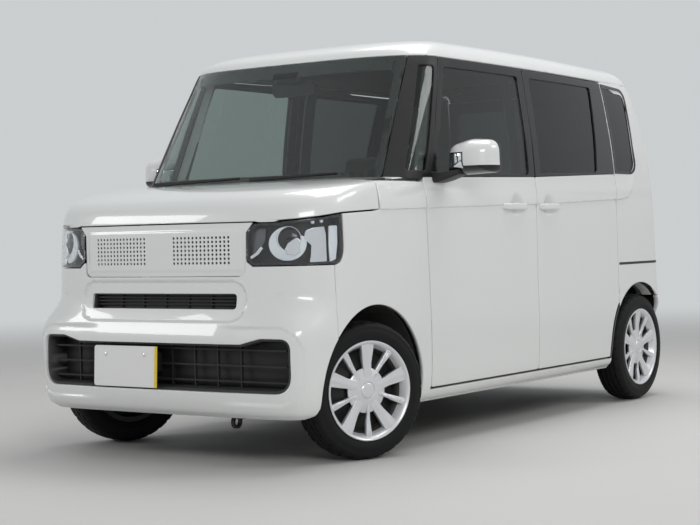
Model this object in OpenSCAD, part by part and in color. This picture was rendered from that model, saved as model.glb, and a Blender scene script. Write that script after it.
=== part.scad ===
// A tall, boxy kei car: unit body, hinged front doors, sliding rear doors, clamshell hood,
// top-hinged tailgate, strut front axle that steers and a twist-beam rear axle.
// X points forward, Y to the car's left, Z up.

/* [Overall] */
// Length over the bumpers
car_length = 3395; // [3340:5:3440]
// Width over the body sides
car_width = 1475; // [1440:5:1500]
// Height of the roof crown above the ground
car_height = 1790; // [1760:5:1820]
// Distance between the axles
wheelbase = 2520; // [2480:5:2550]
// Front of the bumper to the front axle
front_overhang = 511; // [495:1:530]
// Distance between the tyre centres of one axle
track = 1304; // [1290:2:1316]

/* [Wheels] */
// Tyre outer diameter
tyre_d = 557; // [540:1:570]
// Tyre section width
tyre_w = 157; // [145:1:165]
// Rim flange diameter
rim_d = 384; // [372:1:396]
// Depth of the wheel from flange to flange
rim_w = 126; // [116:1:132]
// Number of wide spokes, with a narrow one between each pair
spoke_pairs = 5; // [4:1:6]
// Stub axle diameter
stub_d = 32; // [26:1:38]
// Radius of the wheel arch openings
arch_r = 342; // [334:1:350]
// Angle that the front wheels are steered to the right
steer_rest = 20; // [0:1:24]

/* [Body] */
// Height of the lower edge of the doors
sill_z = 245; // [235:1:255]
// Height of the window line
belt_z = 1150; // [1130:1:1170]
// Height of the upper edge of the doors
gutter_z = 1672; // [1660:1:1680]
// Height of the hood's front edge
hood_edge_z = 960; // [945:1:975]
// Thickness of doors and tailgate
door_t = 70; // [55:1:80]
// Thickness of the body's side structure
side_t = 108; // [98:1:115]
// Thickness of hood, fenders and bumpers
skin_t = 26; // [18:1:34]
// Thickness of the roof with its lining
roof_t = 38; // [30:1:46]
// Thickness of the window glass
glass_t = 5; // [4:0.5:6]
// Gap around doors, hood and tailgate
gap = 8; // [7:0.5:9]

/* [Front doors] */
// Front edge of the front doors, behind the front axle
door_front_set = 392; // [380:1:404]
// Line between front and rear doors, behind the front axle
door_split_set = 1372; // [1350:1:1390]
// Rear edge of the sliding doors, ahead of the rear axle
slide_rear_set = 262; // [252:1:275]

/* [Cabin] */
// Height of the cabin floor's upper face
floor_z = 262; // [256:1:275]
// Thickness of the floor
floor_t = 40; // [30:1:45]
// Steering wheel diameter
steering_d = 370; // [350:1:380]
// Distance of the front seats from the car's middle
seat_y = 318; // [305:1:330]

/* [Hidden] */

// Finishes
paint = "white";
trim_black = [0.05, 0.05, 0.055];
glass_tint = [0.12, 0.15, 0.15, 0.6];
silver = [0.75, 0.76, 0.78];
rubber = [0.03, 0.03, 0.03];
steel = [0.25, 0.25, 0.26];
cloth = [0.32, 0.31, 0.3];

// Main places
front_x = car_length / 2;
rear_x = -car_length / 2;
half_w = car_width / 2;
axle_z = tyre_d / 2;
axle_front = front_x - front_overhang;
axle_rear = axle_front - wheelbase;
wheel_y = track / 2;
door_front_x = axle_front - door_front_set;
door_split_x = axle_front - door_split_set;
slide_rear_x = axle_rear + slide_rear_set;
half_gap = gap / 2;
// Fixed panels and what is seated on something keep these hair gaps
seam = 0.4;
seat = 0.3;
far = 900;
// Doors close against a flange behind them
rebate = door_t + 26;
rail_z = gutter_z + 6;

// Plan sections of the body, from the sill to the hood's top.
// Columns: height, front set-back, rear set-back, then the side's set-in at the front, middle and rear
body_sections = [
    [190, 66, 60, 52, 52, 60],
    [222, 26, 24, 20, 20, 28],
    [290, 6, 6, 6, 6, 14],
    [370, 0, 0, 1.5, 1.5, 9],
    [500, 3, 2, 0, 0, 8],
    [570, 20, 8, 0.6, 0.4, 8.5],
    [630, 31, 16, 1.4, 1, 9.5],
    [760, 37, 21, 2.6, 2, 12],
    [hood_edge_z, 50, 27, 5, 3.4, 16],
    [hood_edge_z + 50, 62, 28, 7, 4.2, 18],
    [hood_edge_z + 90, 92, 29, 10, 5, 20],
    [hood_edge_z + 120, 148, 30, 14, 5.6, 22],
    [hood_edge_z + 140, 225, 31, 18, 6.2, 23],
    [hood_edge_z + 160, 367, 32, 23, 6.8, 24],
    [hood_edge_z + 175, 527, 33, 27, 7.4, 25],
    [hood_edge_z + 183, 650, 34, 31, 8, 26]
];
// The same columns from the window line to the gutter
glass_sections = [
    [belt_z - 50, 622, 33, 15, 6, 22],
    [belt_z, 649, 36, 19, 8, 26],
    [belt_z + 160, 738, 48, 33, 20, 46],
    [belt_z + 310, 820, 72, 50, 40, 72],
    [belt_z + 435, 890, 104, 67, 60, 98],
    [gutter_z, 937, 132, 83, 76, 122]
];
// The same columns for the roof, with the first one the drop below the crown, for a crown that
// rises by roof_rise above the gutter
roof_rise = 118;
roof_sections = [
    [90, 955, 148, 95, 88, 134],
    [68, 987, 172, 112, 104, 150],
    [48, 1047, 215, 139, 130, 177],
    [32, 1130, 285, 180, 171, 218],
    [19, 1250, 390, 242, 232, 280],
    [9, 1400, 560, 325, 315, 362],
    [3, 1560, 760, 440, 430, 475],
    [0, 1750, 1000, 590, 580, 620]
];
upper_sections = concat(glass_sections, [for (s = roof_sections)
    [car_height - s[0] * (car_height - gutter_z) / roof_rise, s[1], s[2], s[3], s[4], s[5]]]);

// The plan corners are quarter superellipses: their length along the car and how square they are
body_corner = 400;
glass_corner = 300;
rear_corner = 210;
front_square = 3.5;
rear_square = 4;
front_steps = 5;
rear_steps = 4;

// One plan section, set in by t, from the front round the left side to the rear and back
function half_plan(s, corner, t) =
    let (xf = front_x - s[1] - t, xr = rear_x + s[2] + t)
    concat(
        [for (i = [0 : front_steps]) let (a = 90 * i / front_steps)
            [xf - corner + corner * pow(cos(a), 2 / front_square),
        (half_w - s[3] - t) * pow(sin(a), 2 / front_square)]],
        [[(xf - corner + xr + rear_corner) / 2, half_w - s[4] - t]],
        [for (i = [0 : rear_steps]) let (a = 90 * i / rear_steps)
            [xr + rear_corner - rear_corner * pow(sin(a), 2 / rear_square),
             (half_w - s[5] - t) * pow(cos(a), 2 / rear_square)]]);
function mirrored(points) = [for (i = [len(points) - 1 : -1 : 0]) [points[i][0], -points[i][1]]];

// The same section as points in space, lowered by drop
function ring(s, corner, t, drop) =
    let (half = half_plan(s, corner, t))
    [for (p = concat(half, mirrored(half))) [p[0], p[1], s[0] - drop]];

// The solid between two rings, which share their faces with the layers above and below
module layer(low, high) {
    n = len(low);
    hull() polyhedron(concat(low, high), concat(
        [[for (i = [0 : n - 1]) i]],
        [[for (i = [n - 1 : -1 : 0]) n + i]],
        [for (i = [0 : n - 1]) [i, n + i, n + (i + 1) % n, (i + 1) % n]]));
}

// A stack of sections, those above drop_from lowered by drop
module stack(sections, corner, t, drop_from, drop) {
    rings = [for (s = sections) ring(s, corner, t, s[0] > drop_from ? drop : 0)];
    for (i = [0 : len(rings) - 2]) layer(rings[i], rings[i + 1]);
}

// The whole body's outside, set in by t
module body_form(t = 0) {
    stack(body_sections, body_corner, t, hood_edge_z - 1, t);
    stack(upper_sections, glass_corner, t, gutter_z - 1, min(t, roof_t));
}

// The space inside the body, open below
module inside_form(t) {
    body_form(t);
    layer(ring(upper_sections[0], glass_corner, t, t + 20),
        ring(upper_sections[0], glass_corner, t, 0));
    layer(ring(body_sections[1], body_corner, t, body_sections[1][0] + gap),
        ring(body_sections[1], body_corner, t, 0));
}

module shell(t) {
    difference() {
        body_form();
        inside_form(t);
    }
}

// Prisms: from an outline in side view, and from one seen from the front
module side_prism(y0, y1) {
    translate([0, y1, 0]) rotate([90, 0, 0]) linear_extrude(y1 - y0) children();
}
module front_prism(x0, x1) {
    translate([x0, 0, 0]) rotate([90, 0, 90]) linear_extrude(x1 - x0) children();
}
module left_and_right() {
    children();
    mirror([0, 1, 0]) children();
}
module eased(r) {
    offset(r, $fn = 12) offset(-r) children();
}

// Outlines in side view
lamp_rear_x = front_x - 302;
lamp_rear_z = hood_edge_z + 30;
hood_rear_x = front_x - 552;
bumper_seam_x = front_x - 250;
pillar_top_x = door_front_x - 250;
window_sill_h = 12;
frame_w = 46;
tail_y = half_w - 118;
tail_top_y = half_w - 205;
tail_low_z = 545;
tail_roof_z = car_height - 52;

module arch(x, r) {
    translate([x, axle_z]) circle(r, $fn = 36);
}
module front_door_outline() {
    polygon([[door_front_x - 22, sill_z], [door_front_x - 18, 560], [door_front_x, belt_z - 60],
        [door_front_x, belt_z - 10], [door_front_x - 70, belt_z + 10], [pillar_top_x, gutter_z],
        [door_split_x, gutter_z], [door_split_x, sill_z]]);
}
module sliding_door_outline() {
    difference() {
        polygon([[door_split_x, sill_z], [door_split_x, gutter_z], [slide_rear_x, gutter_z - 4],
            [slide_rear_x, sill_z]]);
        arch(axle_rear, arch_r + 18);
    }
}
// The window openings: front door, sliding door, front quarter and rear quarter
module front_window() {
    eased(18) polygon([[door_front_x - 114, belt_z + window_sill_h],
        [pillar_top_x - 36, gutter_z - frame_w], [door_split_x + 88, gutter_z - frame_w],
        [door_split_x + 150, belt_z + window_sill_h]]);
}
module sliding_window() {
    eased(18) polygon([[door_split_x - 54, belt_z + window_sill_h + 4],
        [door_split_x - 54, gutter_z - frame_w], [slide_rear_x + 130, gutter_z - frame_w],
        [slide_rear_x + 200, belt_z + window_sill_h + 8]]);
}
module corner_window() {
    eased(12) polygon([[door_front_x + 134, belt_z + window_sill_h],
        [door_front_x - 114, gutter_z - frame_w + 6], [pillar_top_x + 26, gutter_z - frame_w + 6],
        [door_front_x - 50, belt_z + window_sill_h]]);
}
module quarter_window() {
    eased(40) polygon([[slide_rear_x - 30, belt_z + 40], [slide_rear_x - 30, gutter_z - frame_w],
        [slide_rear_x - 300, gutter_z - frame_w - 8], [slide_rear_x - 262, belt_z + 84],
        [slide_rear_x - 220, belt_z + 42]]);
}
module hood_outline() {
    polygon([[front_x + far, hood_edge_z], [front_x - 78, hood_edge_z], [lamp_rear_x, lamp_rear_z],
        [hood_rear_x, lamp_rear_z + 12], [hood_rear_x, belt_z + 100], [front_x + far, belt_z + 100]]);
}

// Outlines seen from the front or the rear, left half or whole
grille_y = 428;
grille_low_z = hood_edge_z - 210;
lamp_inner_y = grille_y + seam;
lamp_low_z = hood_edge_z - 172;
module lamp_outline() {
    polygon([[lamp_inner_y + 28, lamp_low_z], [half_w + far, lamp_low_z],
        [half_w + far, hood_edge_z + 100], [lamp_inner_y + 34, hood_edge_z + 100],
        [lamp_inner_y + 34, hood_edge_z - 4], [lamp_inner_y, hood_edge_z - 36],
        [lamp_inner_y, lamp_low_z + 30]]);
}
// The mouth's half, from its lower edge out and up to the middle
mouth_y = half_w - 85.5;
mouth_half = [[mouth_y - 52, 294], [mouth_y - 12, 318], [mouth_y, 400], [mouth_y - 10, 508],
    [mouth_y - 32, 528], [mouth_y - 140, 528], [mouth_y - 222, 486]];
module mouth_outline() {
    eased(22) polygon(concat(mouth_half, mirrored_y(mouth_half)));
}
function mirrored_y(points) = [for (i = [len(points) - 1 : -1 : 0]) [-points[i][0], points[i][1]]];
slot_y = 385;
module slot_outline() {
    eased(14) translate([-slot_y, 622]) square([2 * slot_y, 60]);
}
module tailgate_outline() {
    eased(30) polygon([[-tail_y, tail_low_z], [tail_y, tail_low_z], [tail_y, belt_z],
        [tail_top_y, tail_roof_z + 60], [-tail_top_y, tail_roof_z + 60], [-tail_y, belt_z]]);
}
module tail_window() {
    eased(40) polygon([[-tail_y + 62, belt_z - 20], [tail_y - 62, belt_z - 20],
        [tail_top_y - 26, gutter_z - 62], [-tail_top_y + 26, gutter_z - 62]]);
}
screen_low_y = half_w - 99.5;
screen_top_y = half_w - 151.5;
module windshield_outline() {
    polygon([[-screen_low_y, belt_z - 18], [screen_low_y, belt_z - 18],
        [screen_top_y, rail_z - seat], [-screen_top_y, rail_z - seat]]);
}

// Panels of the unit body

// Low floor, bulkhead, step and the raised rear floor over the beam axle
wall_y = half_w - side_t - 34;
front_wall_x = door_front_x + 190;
step_x = axle_rear + 440;
step_h = 160;
floor_end_x = rear_x + 110;
tank = [620, 780, 55];
module floor_pan() color(steel) {
    difference() {
        union() {
            intersection() {
                body_form(side_t + seat);
                union() {
                    translate([step_x, -half_w, floor_z - floor_t])
                        cube([front_wall_x - step_x, car_width, floor_t]);
                    translate([front_wall_x - 30, -wall_y, floor_z - 1])
                        cube([30, 2 * wall_y, hood_edge_z + 60 - floor_z]);
                    translate([step_x, -half_w, floor_z - 1]) cube([30, car_width, step_h + 31]);
                    translate([floor_end_x, -wall_y, floor_z + step_h])
                        cube([step_x + 30 - floor_end_x, 2 * wall_y, 30]);
                }
            }
            // the fuel tank hangs under the floor
            translate([-330, -430, floor_z - floor_t - tank[2] + 1]) cube(tank);
        }
        // room for the four wheelhouses
        left_and_right() {
            drum(axle_front, front_house_y - house_gap, arch_r + 16);
            drum(axle_rear, rear_house_y - house_gap, arch_r + 16);
        }
    }
}
module drum(x, y, r) {
    translate([x, y, axle_z]) rotate([-90, 0, 0]) cylinder(far, r = r);
}

// A liner behind each arch: a half drum with an inner wall
house_t = 6;
house_gap = 8;
front_house_y = wheel_y - tyre_w / 2 - 160;
rear_house_y = wheel_y - tyre_w / 2 - 24;
house_r = arch_r + 8;
strut_room = 105;
module wheelhouse(x, inner_y) {
    difference() {
        drum(x, inner_y, house_r);
        drum(x, inner_y + house_t, house_r - house_t);
        translate([x - far, 0, -far + floor_z - floor_t - 2]) cube([2 * far, 2 * far, far]);
        // the axle passes through the inner wall
        translate([x - strut_room, inner_y - 1, 0])
            cube([2 * strut_room, house_t + 2, axle_z + strut_room]);
    }
}
module wheelhouses() color(trim_black) left_and_right() {
    intersection() {
        body_form(skin_t + gap);
        difference() {
            wheelhouse(axle_front, front_house_y);
            // the strut passes through the roof
            translate([axle_front - strut_room, front_house_y - 1, axle_z])
                cube([2 * strut_room, kingpin_low[1] - front_house_y, far]);
        }
    }
    intersection() {
        body_form(side_t + seat);
        wheelhouse(axle_rear, rear_house_y);
        translate([rear_x + 80, 0, 0]) cube([2 * far, far, far]);
    }
}

module side_ring_outline() {
    difference() {
        polygon([[door_front_x + 200, 190], [door_front_x + 200, belt_z], [door_front_x - 20, rail_z],
            [rear_x, rail_z], [rear_x, 190]]);
        offset(-42) front_door_outline();
        offset(-42) sliding_door_outline();
    }
}
// How far in the side structure reaches, at the cowl and in general
cowl_y = half_w - 140;
pillar_in_y = half_w - 184;
module side_frame() {
    intersection() {
        difference() {
            body_form();
            inside_form(side_t);
            // doors sit in rebates, and leave a flange behind them
            difference() {
                side_prism(0, far) offset(half_gap) union() {
                    front_door_outline();
                    sliding_door_outline();
                }
                inside_form(rebate);
            }
            side_prism(0, far) corner_window();
            side_prism(0, far) quarter_window();
            side_prism(0, far) arch(axle_rear, arch_r);
            side_prism(0, far) arch(axle_front, house_r + 3);
            // the fender lies over the hinge pillar
            difference() {
                side_prism(0, far) offset(seam) fender_outline();
                inside_form(skin_t + seat);
            }
            // room for dashboard and cowl between the pillars
            translate([door_front_x + 60, 0, 0]) cube([far, cowl_y + gap, belt_z + 10]);
            // the tailgate's opening and the bumper's seat
            front_prism(rear_x - far, rear_x + tail_hinge_set + half_gap)
                offset(half_gap) tailgate_outline();
            translate([rear_x - far, -far, 0]) cube([far + bumper_depth + seam, 2 * far, tail_low_z]);
            // the windshield's seat
            front_prism(0, far * 2) offset(seam) windshield_outline();
            tail_lamp_block(seam);
        }
        side_prism(pillar_in_y, far) side_ring_outline();
    }
}
module side_frame_left() color(paint) side_frame();
module side_frame_right() color(paint) mirror([0, 1, 0]) side_frame();

module roof_panel() color(paint) {
    edge_x = rear_x + tail_hinge_set + half_gap;
    difference() {
        shell(roof_t);
        translate([-2 * far, -far, 0]) cube([4 * far, 2 * far, rail_z + seat]);
        front_prism(rear_x - far, edge_x) offset(half_gap) tailgate_outline();
    }
    // lugs that carry the tailgate's hinges
    left_and_right() translate([edge_x - 0.1, tail_hinge_y - lug_w / 2, tail_pin_z - hinge_neck - 16])
        cube([28, lug_w, hinge_neck + 6]);
}

module cowl_panel() color(trim_black) {
    low_z = hood_edge_z + 100;
    edge_x = hood_rear_x - half_gap;
    intersection() {
        shell(14);
        union() {
            translate([door_front_x + 130, -cowl_y, low_z])
                cube([edge_x - door_front_x - 130, 2 * cowl_y, 120]);
            translate([door_front_x + 206, -fender_in_y + seam, low_z])
                cube([edge_x - door_front_x - 206, 2 * fender_in_y - 2 * seam, 120]);
        }
        difference() {
            translate([0, -far, 0]) cube([2 * far, 2 * far, far * 2]);
            stack(glass_sections, glass_corner, -0.2, 0, 0);
        }
    }
    // lugs that carry the hood's hinges
    left_and_right() translate([edge_x - 28, hood_hinge_y - lug_w / 2, hood_pin_z - hinge_neck - 16])
        cube([28.1, lug_w, hinge_neck + 23]);
}

module pane(t = glass_t) {
    difference() {
        body_form(8);
        body_form(8 + t);
    }
}

module windshield() color(glass_tint) {
    intersection() {
        difference() {
            stack(upper_sections, glass_corner, seam, 0, 0);
            stack(upper_sections, glass_corner, seam + glass_t, 0, 0);
        }
        front_prism(0, 2 * far) windshield_outline();
        translate([0, -far, belt_z - 20]) cube([2 * far, 2 * far, far]);
    }
}

module side_glasses() color(glass_tint) left_and_right() intersection() {
    pane();
    side_prism(200, far) offset(-seat) {
        corner_window();
        sliding_window();
        quarter_window();
    }
}

// Front end

fender_in_y = half_w - 72;
module fender_outline() {
    polygon([[door_front_x - 16 + half_gap, 190], [door_front_x - 18 + half_gap, 560],
        [door_front_x + half_gap, belt_z - 60], [door_front_x + half_gap, belt_z - 22],
        [hood_rear_x - half_gap, belt_z - 22], [hood_rear_x - half_gap, lamp_rear_z + 12 - half_gap],
        [lamp_rear_x - seam, lamp_rear_z - half_gap], [lamp_rear_x - seam, lamp_low_z - seam],
        [bumper_seam_x - seam, lamp_low_z - seam], [bumper_seam_x - seam, 190]]);
}
module fender() {
    difference() {
        intersection() {
            shell(skin_t);
            side_prism(300, far) fender_outline();
        }
        side_prism(0, far) arch(axle_front, arch_r);
        side_prism(0, far) translate([axle_front, 0]) square([far, axle_z]);
        // between the fenders lie the hood and the cowl
        translate([door_front_x + 120, 0, hood_edge_z]) cube([far, fender_in_y, far]);
        front_prism(0, 2 * far) offset(seam) windshield_outline();
    }
}
module fender_left() color(paint) fender();
module fender_right() color(paint) mirror([0, 1, 0]) fender();

module front_bumper() color(paint) {
    difference() {
        intersection() {
            shell(skin_t);
            front_prism(bumper_seam_x, front_x) bumper_outline();
        }
        side_prism(-far, far) arch(axle_front, arch_r);
        front_prism(0, 2 * far) mouth_outline();
        front_prism(0, 2 * far) slot_outline();
    }
}
// Up to the grille in the middle and to the lamps beside it
module bumper_outline() {
    translate([-far, 0]) square([2 * far, grille_low_z - seam]);
    for (side = [0, 1]) mirror([side, 0])
        polygon([[grille_y + seam, grille_low_z - 2 * gap], [half_w + far, grille_low_z - 2 * gap],
        [half_w + far, lamp_low_z - seam], [lamp_inner_y + 28, lamp_low_z - seam],
        [lamp_inner_y, lamp_low_z + 30 - seam], [grille_y + seam, lamp_low_z + 30 - seam]]);
}

// Perforated panel between the lamps
hole_r = 5.4;
hole_step = 21;
hole_columns = 15;
hole_rows = 7;
hole_field_y = 64;
grille_bow_r = 3800;
grille_t = 14;
module hole_field() {
    for (side = [-1, 1], i = [0 : hole_columns - 1], j = [0 : hole_rows - 1])
        translate([side * (hole_field_y + i * hole_step), hood_edge_z - 42 - j * hole_step * 0.86])
            circle(hole_r, $fn = 6);
}
module grille_panel() color(paint) {
    intersection() {
        // a shallow barrel, as wide as the gap between the lamps
        translate([front_x - 44 - grille_bow_r, 0, grille_low_z]) difference() {
            cylinder(hood_edge_z - gap - grille_low_z, r = grille_bow_r, $fn = 360);
            translate([0, 0, -1]) cylinder(hood_edge_z, r = grille_bow_r - grille_t, $fn = 360);
        }
        front_prism(front_x - 200, front_x) difference() {
            translate([-grille_y, grille_low_z])
                square([2 * grille_y, hood_edge_z - gap - grille_low_z]);
            hole_field();
        }
    }
}

// Dark insert behind the mouth and the slot, with its bars and the plate bracket
mouth_bars_y = [-540, -190, 40, 150, 330];
bar_t = 9;
insert_x = front_x - 96;
insert_half = [[mouth_y - 142, 262], [mouth_y - 92, 304], [mouth_y - 92, 480], [mouth_y - 150, 546]];
bar_y = mouth_y - 96;
plate_y = -150;
plate_z = 388;
plate_hole_pitch = 210;
plate_hole_r = 3.5;
module lower_grille() color(trim_black) {
    difference() {
        union() {
            front_prism(insert_x - 12, insert_x) {
                polygon(concat(insert_half, mirrored_y(insert_half)));
                translate([-slot_y + 13, 540]) square([2 * slot_y - 26, 180]);
            }
            for (z = [330, 392, 452]) translate([insert_x - 1, -bar_y, z]) cube([34, 2 * bar_y, bar_t]);
            for (y = mouth_bars_y) translate([insert_x - 1, y, 300]) cube([26, bar_t, 180]);
            for (z = [640, 660]) translate([insert_x - 1, -360, z]) cube([20, 720, bar_t]);
            for (y = [-120, 60, 220]) translate([insert_x - 1, y, 624]) cube([16, bar_t, 56]);
            // flange on the bumper's back
            translate([insert_x - 1, -20, 540]) cube([front_x - 43.6 - insert_x + 1, 40, 16]);
            // bracket for the number plate
            translate([insert_x - 1, plate_y - 150, plate_z + 30])
                cube([front_x - 18 - insert_x, 300, 36]);
        }
        for (side = [-1, 1])
            translate([insert_x - 20, plate_y + side * plate_hole_pitch / 2, plate_z + 48])
                rotate([0, 90, 0]) cylinder(200, r = plate_hole_r);
    }
}

lamp_room = 60;
lens_t = 6;
module lamp_region() {
    intersection() {
        front_prism(lamp_rear_x, front_x) lamp_outline();
        side_prism(lamp_inner_y - 1, far) difference() {
            translate([lamp_rear_x, lamp_low_z]) square([far, far]);
            offset(gap) hood_outline();
        }
    }
}
module headlamps() color(trim_black) left_and_right() intersection() {
    difference() {
        body_form(lens_t + seam);
        body_form(lamp_room);
    }
    lamp_region();
}
module headlamp_lenses() color(glass_tint) left_and_right() intersection() {
    difference() {
        body_form(0);
        body_form(lens_t);
    }
    lamp_region();
}

// Rear end

bumper_depth = 330;
module rear_bumper() color(paint) {
    difference() {
        intersection() {
            shell(skin_t + 14);
            translate([rear_x, -far, 0]) cube([bumper_depth, 2 * far, tail_low_z - seam]);
        }
        side_prism(-far, far) arch(axle_rear, arch_r);
    }
}
tail_lamp_low = belt_z - 330;
tail_lamp_top = belt_z - 10;
module tail_lamp_block(grow = 0) {
    translate([rear_x - far, tail_y + half_gap - grow, tail_lamp_low - grow])
        cube([far + 118 + grow, far, tail_lamp_top - tail_lamp_low + 2 * grow]);
}
module tail_lamps() color([0.6, 0.05, 0.05]) left_and_right() intersection() {
    shell(60);
    tail_lamp_block();
    translate([rear_x - far, tail_y + 2 * half_gap, 0]) cube([2 * far, far, 2 * far]);
}

tail_hinge_set = 330;
grip = [460, 190];
module tailgate() color(paint) {
    difference() {
        intersection() {
            shell(door_t);
            front_prism(rear_x - far, rear_x + tail_hinge_set - half_gap) offset(-half_gap)
                tailgate_outline();
        }
        front_prism(rear_x - far, axle_rear) tail_window();
        // grip and plate recess
        translate([rear_x - far, -grip[0] / 2, 760]) cube([far + 40, grip[0], grip[1]]);
        tail_hinge_places() hinge_pocket();
    }
}
module tailgate_glass() color(glass_tint) intersection() {
    pane();
    front_prism(rear_x - 10, axle_rear) offset(-seat) tail_window();
}
module rear_wiper() color(trim_black) {
    hinge_z = belt_z - 62;
    translate([rear_x + 29.1, 0, hinge_z]) rotate([0, -90, 0]) cylinder(24, d = 46);
    hull() {
        translate([rear_x + 18, 0, hinge_z]) rotate([0, -90, 0]) cylinder(10, d = 30);
        translate([rear_x + 18, 330, hinge_z + 22]) rotate([0, -90, 0]) cylinder(8, d = 14);
    }
}

// Doors

module handle(x) {
    handle_z = belt_z - 126;
    translate([x, half_w + 3, handle_z]) intersection() {
        rotate([0, 90, 0]) scale([1, 0.7, 1]) cylinder(150, d = 44, center = true);
        cube([150, 30, 44], center = true);
    }
}
module handle_cup(x) {
    translate([x, half_w + 16, belt_z - 126]) sphere(58, $fn = 20);
}
door_in_y = half_w - 160;
module front_door() {
    difference() {
        intersection() {
            shell(door_t);
            side_prism(door_in_y, far) offset(-half_gap) front_door_outline();
        }
        side_prism(0, far) front_window();
        door_hinge_places() hinge_pocket();
        handle_cup(door_split_x + 200);
    }
    handle(door_split_x + 200);
}
module door_left() color(paint) front_door();
module door_right() color(paint) mirror([0, 1, 0]) front_door();

module front_door_glass() intersection() {
    pane();
    side_prism(200, far) offset(-seat) front_window();
}
module door_glass_left() color(glass_tint) front_door_glass();
module door_glass_right() color(glass_tint) mirror([0, 1, 0]) front_door_glass();

module sliding_door() {
    difference() {
        intersection() {
            shell(rebate - seat);
            side_prism(door_in_y, far) offset(-half_gap) sliding_door_outline();
        }
        side_prism(0, far) sliding_window();
        handle_cup(door_split_x - 120);
    }
    handle(door_split_x - 120);
}
module sliding_door_left() color(paint) sliding_door();
module sliding_door_right() color(paint) mirror([0, 1, 0]) sliding_door();
// Door mirror: a foot on the door's pillar, an arm and a rounded head
mirror_w = 190;
mirror_h = 150;
mirror_d = 104;
mirror_edge = 30;
module side_mirror() {
    head = [door_front_x - 196, half_w + 40, belt_z - 6];
    translate(head) hull()
        for (y = [mirror_edge, mirror_w - mirror_edge], z = [mirror_edge, mirror_h - mirror_edge])
        translate([0, y, z]) rotate([0, 90, 0]) {
            cylinder(mirror_d * 0.6, r = mirror_edge, $fn = 32);
            cylinder(mirror_d, r = mirror_edge * 0.45, $fn = 32);
        }
    hull() {
        translate(head + [40, 46, 16]) sphere(15, $fn = 20);
        translate([head[0] + 70, half_w + 1, belt_z - 22]) sphere(17, $fn = 20);
    }
}
module mirror_left() color(paint) side_mirror();
module mirror_right() color(paint) mirror([0, 1, 0]) side_mirror();

module hood() color(paint) {
    difference() {
        intersection() {
            shell(skin_t);
            side_prism(-far, far) offset(-half_gap) hood_outline();
        }
        hood_hinge_places() hinge_pocket();
    }
}

// Hinges. Each is drawn with its pin along Z, the panel's skin towards +Y and the fixed side
// towards +X. The fixed leaf goes in, under the panel's edge, and then across to its seat, so that
// the edge can swing past it.
hinge_back = 40;
hinge_depth = 11;
hinge_neck = 54;
hinge_pin_r = 4;
hinge_barrel_r = 7;
hinge_barrel_len = 34;
hinge_ear_t = 7;
running = 0.05;
lug_w = 60;
hood_hinge_y = 420;
hood_pin_z = hood_edge_z + 160.5;
tail_hinge_y = 380;
tail_pin_z = car_height - 40.5;
door_pin_x = door_front_x - 20 - half_gap - hinge_back;
door_pin_y = half_w - hinge_depth - 4;
// Columns: height of the hinge, and how much further ahead the pillar's slanted face is there
door_hinge_rows = [[430, 0], [900, 12.7]];

module door_hinge_places() {
    for (row = door_hinge_rows) translate([door_pin_x, door_pin_y, row[0]]) children();
}
module hood_hinge_places() {
    for (y = [-hood_hinge_y, hood_hinge_y])
        translate([hood_rear_x + half_gap + hinge_back, y, hood_pin_z])
            multmatrix([[-1, 0, 0], [0, 0, 1], [0, 1, 0]]) children();
}
module tail_hinge_places() {
    for (y = [-tail_hinge_y, tail_hinge_y])
        translate([rear_x + tail_hinge_set - half_gap - hinge_back, y, tail_pin_z])
            rotate([90, 0, 0]) children();
}
module hinge_pocket() {
    room = hinge_barrel_len / 2 + hinge_ear_t + 5;
    translate([-hinge_barrel_r - 7, -far, -room]) cube([far, far + hinge_barrel_r + 1.5, 2 * room]);
}
module hinge_fixed(reach) {
    ear_z = hinge_barrel_len / 2 + 1;
    cylinder(2 * (ear_z + hinge_ear_t), r = hinge_pin_r, center = true);
    for (side = [0, 1]) mirror([0, 0, side]) translate([0, 0, ear_z]) {
        cylinder(hinge_ear_t, r = hinge_barrel_r);
        translate([-hinge_barrel_r, -hinge_neck, 0])
            cube([2 * hinge_barrel_r, hinge_neck, hinge_ear_t]);
    }
    translate([-hinge_barrel_r, -hinge_neck - 10, -ear_z - hinge_ear_t])
        cube([reach + hinge_barrel_r - seat, 10, 2 * (ear_z + hinge_ear_t)]);
}
module hinge_moving() {
    difference() {
        union() {
            cylinder(hinge_barrel_len, r = hinge_barrel_r, center = true);
            translate([-hinge_barrel_r - 7 + seat, -hinge_barrel_r, -hinge_barrel_len / 2])
                cube([hinge_barrel_r + 7 - seat, hinge_barrel_r, hinge_barrel_len]);
        }
        cylinder(2 * hinge_barrel_len, r = hinge_pin_r + running, center = true);
    }
}
module hinge_pins() color(steel) {
    left_and_right() for (row = door_hinge_rows)
        translate([door_pin_x, door_pin_y, row[0]]) hinge_fixed(hinge_back + gap + row[1]);
    hood_hinge_places() hinge_fixed(hinge_back + gap);
    tail_hinge_places() hinge_fixed(hinge_back + gap);
}
module door_hinges_left() color(steel) door_hinge_places() hinge_moving();
module door_hinges_right() color(steel) mirror([0, 1, 0]) door_hinge_places() hinge_moving();
module hood_hinges() color(steel) hood_hinge_places() hinge_moving();
module tailgate_hinges() color(steel) tail_hinge_places() hinge_moving();

// Two wiper arms on the cowl
// Columns: where the arm's foot is across the car, its reach, and the foot's height above the hood's
// front edge
wiper_rows = [[-520, 470, 180], [30, 440, 182.7]];
module wipers() color(trim_black) {
    for (row = wiper_rows) {
        foot = [door_front_x + 280, row[0], hood_edge_z + row[2]];
        hull() {
            translate(foot) cylinder(14, r = 16);
            translate(foot + [-4, row[1], 18]) sphere(6, $fn = 16);
        }
    }
}

// Inside

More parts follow.
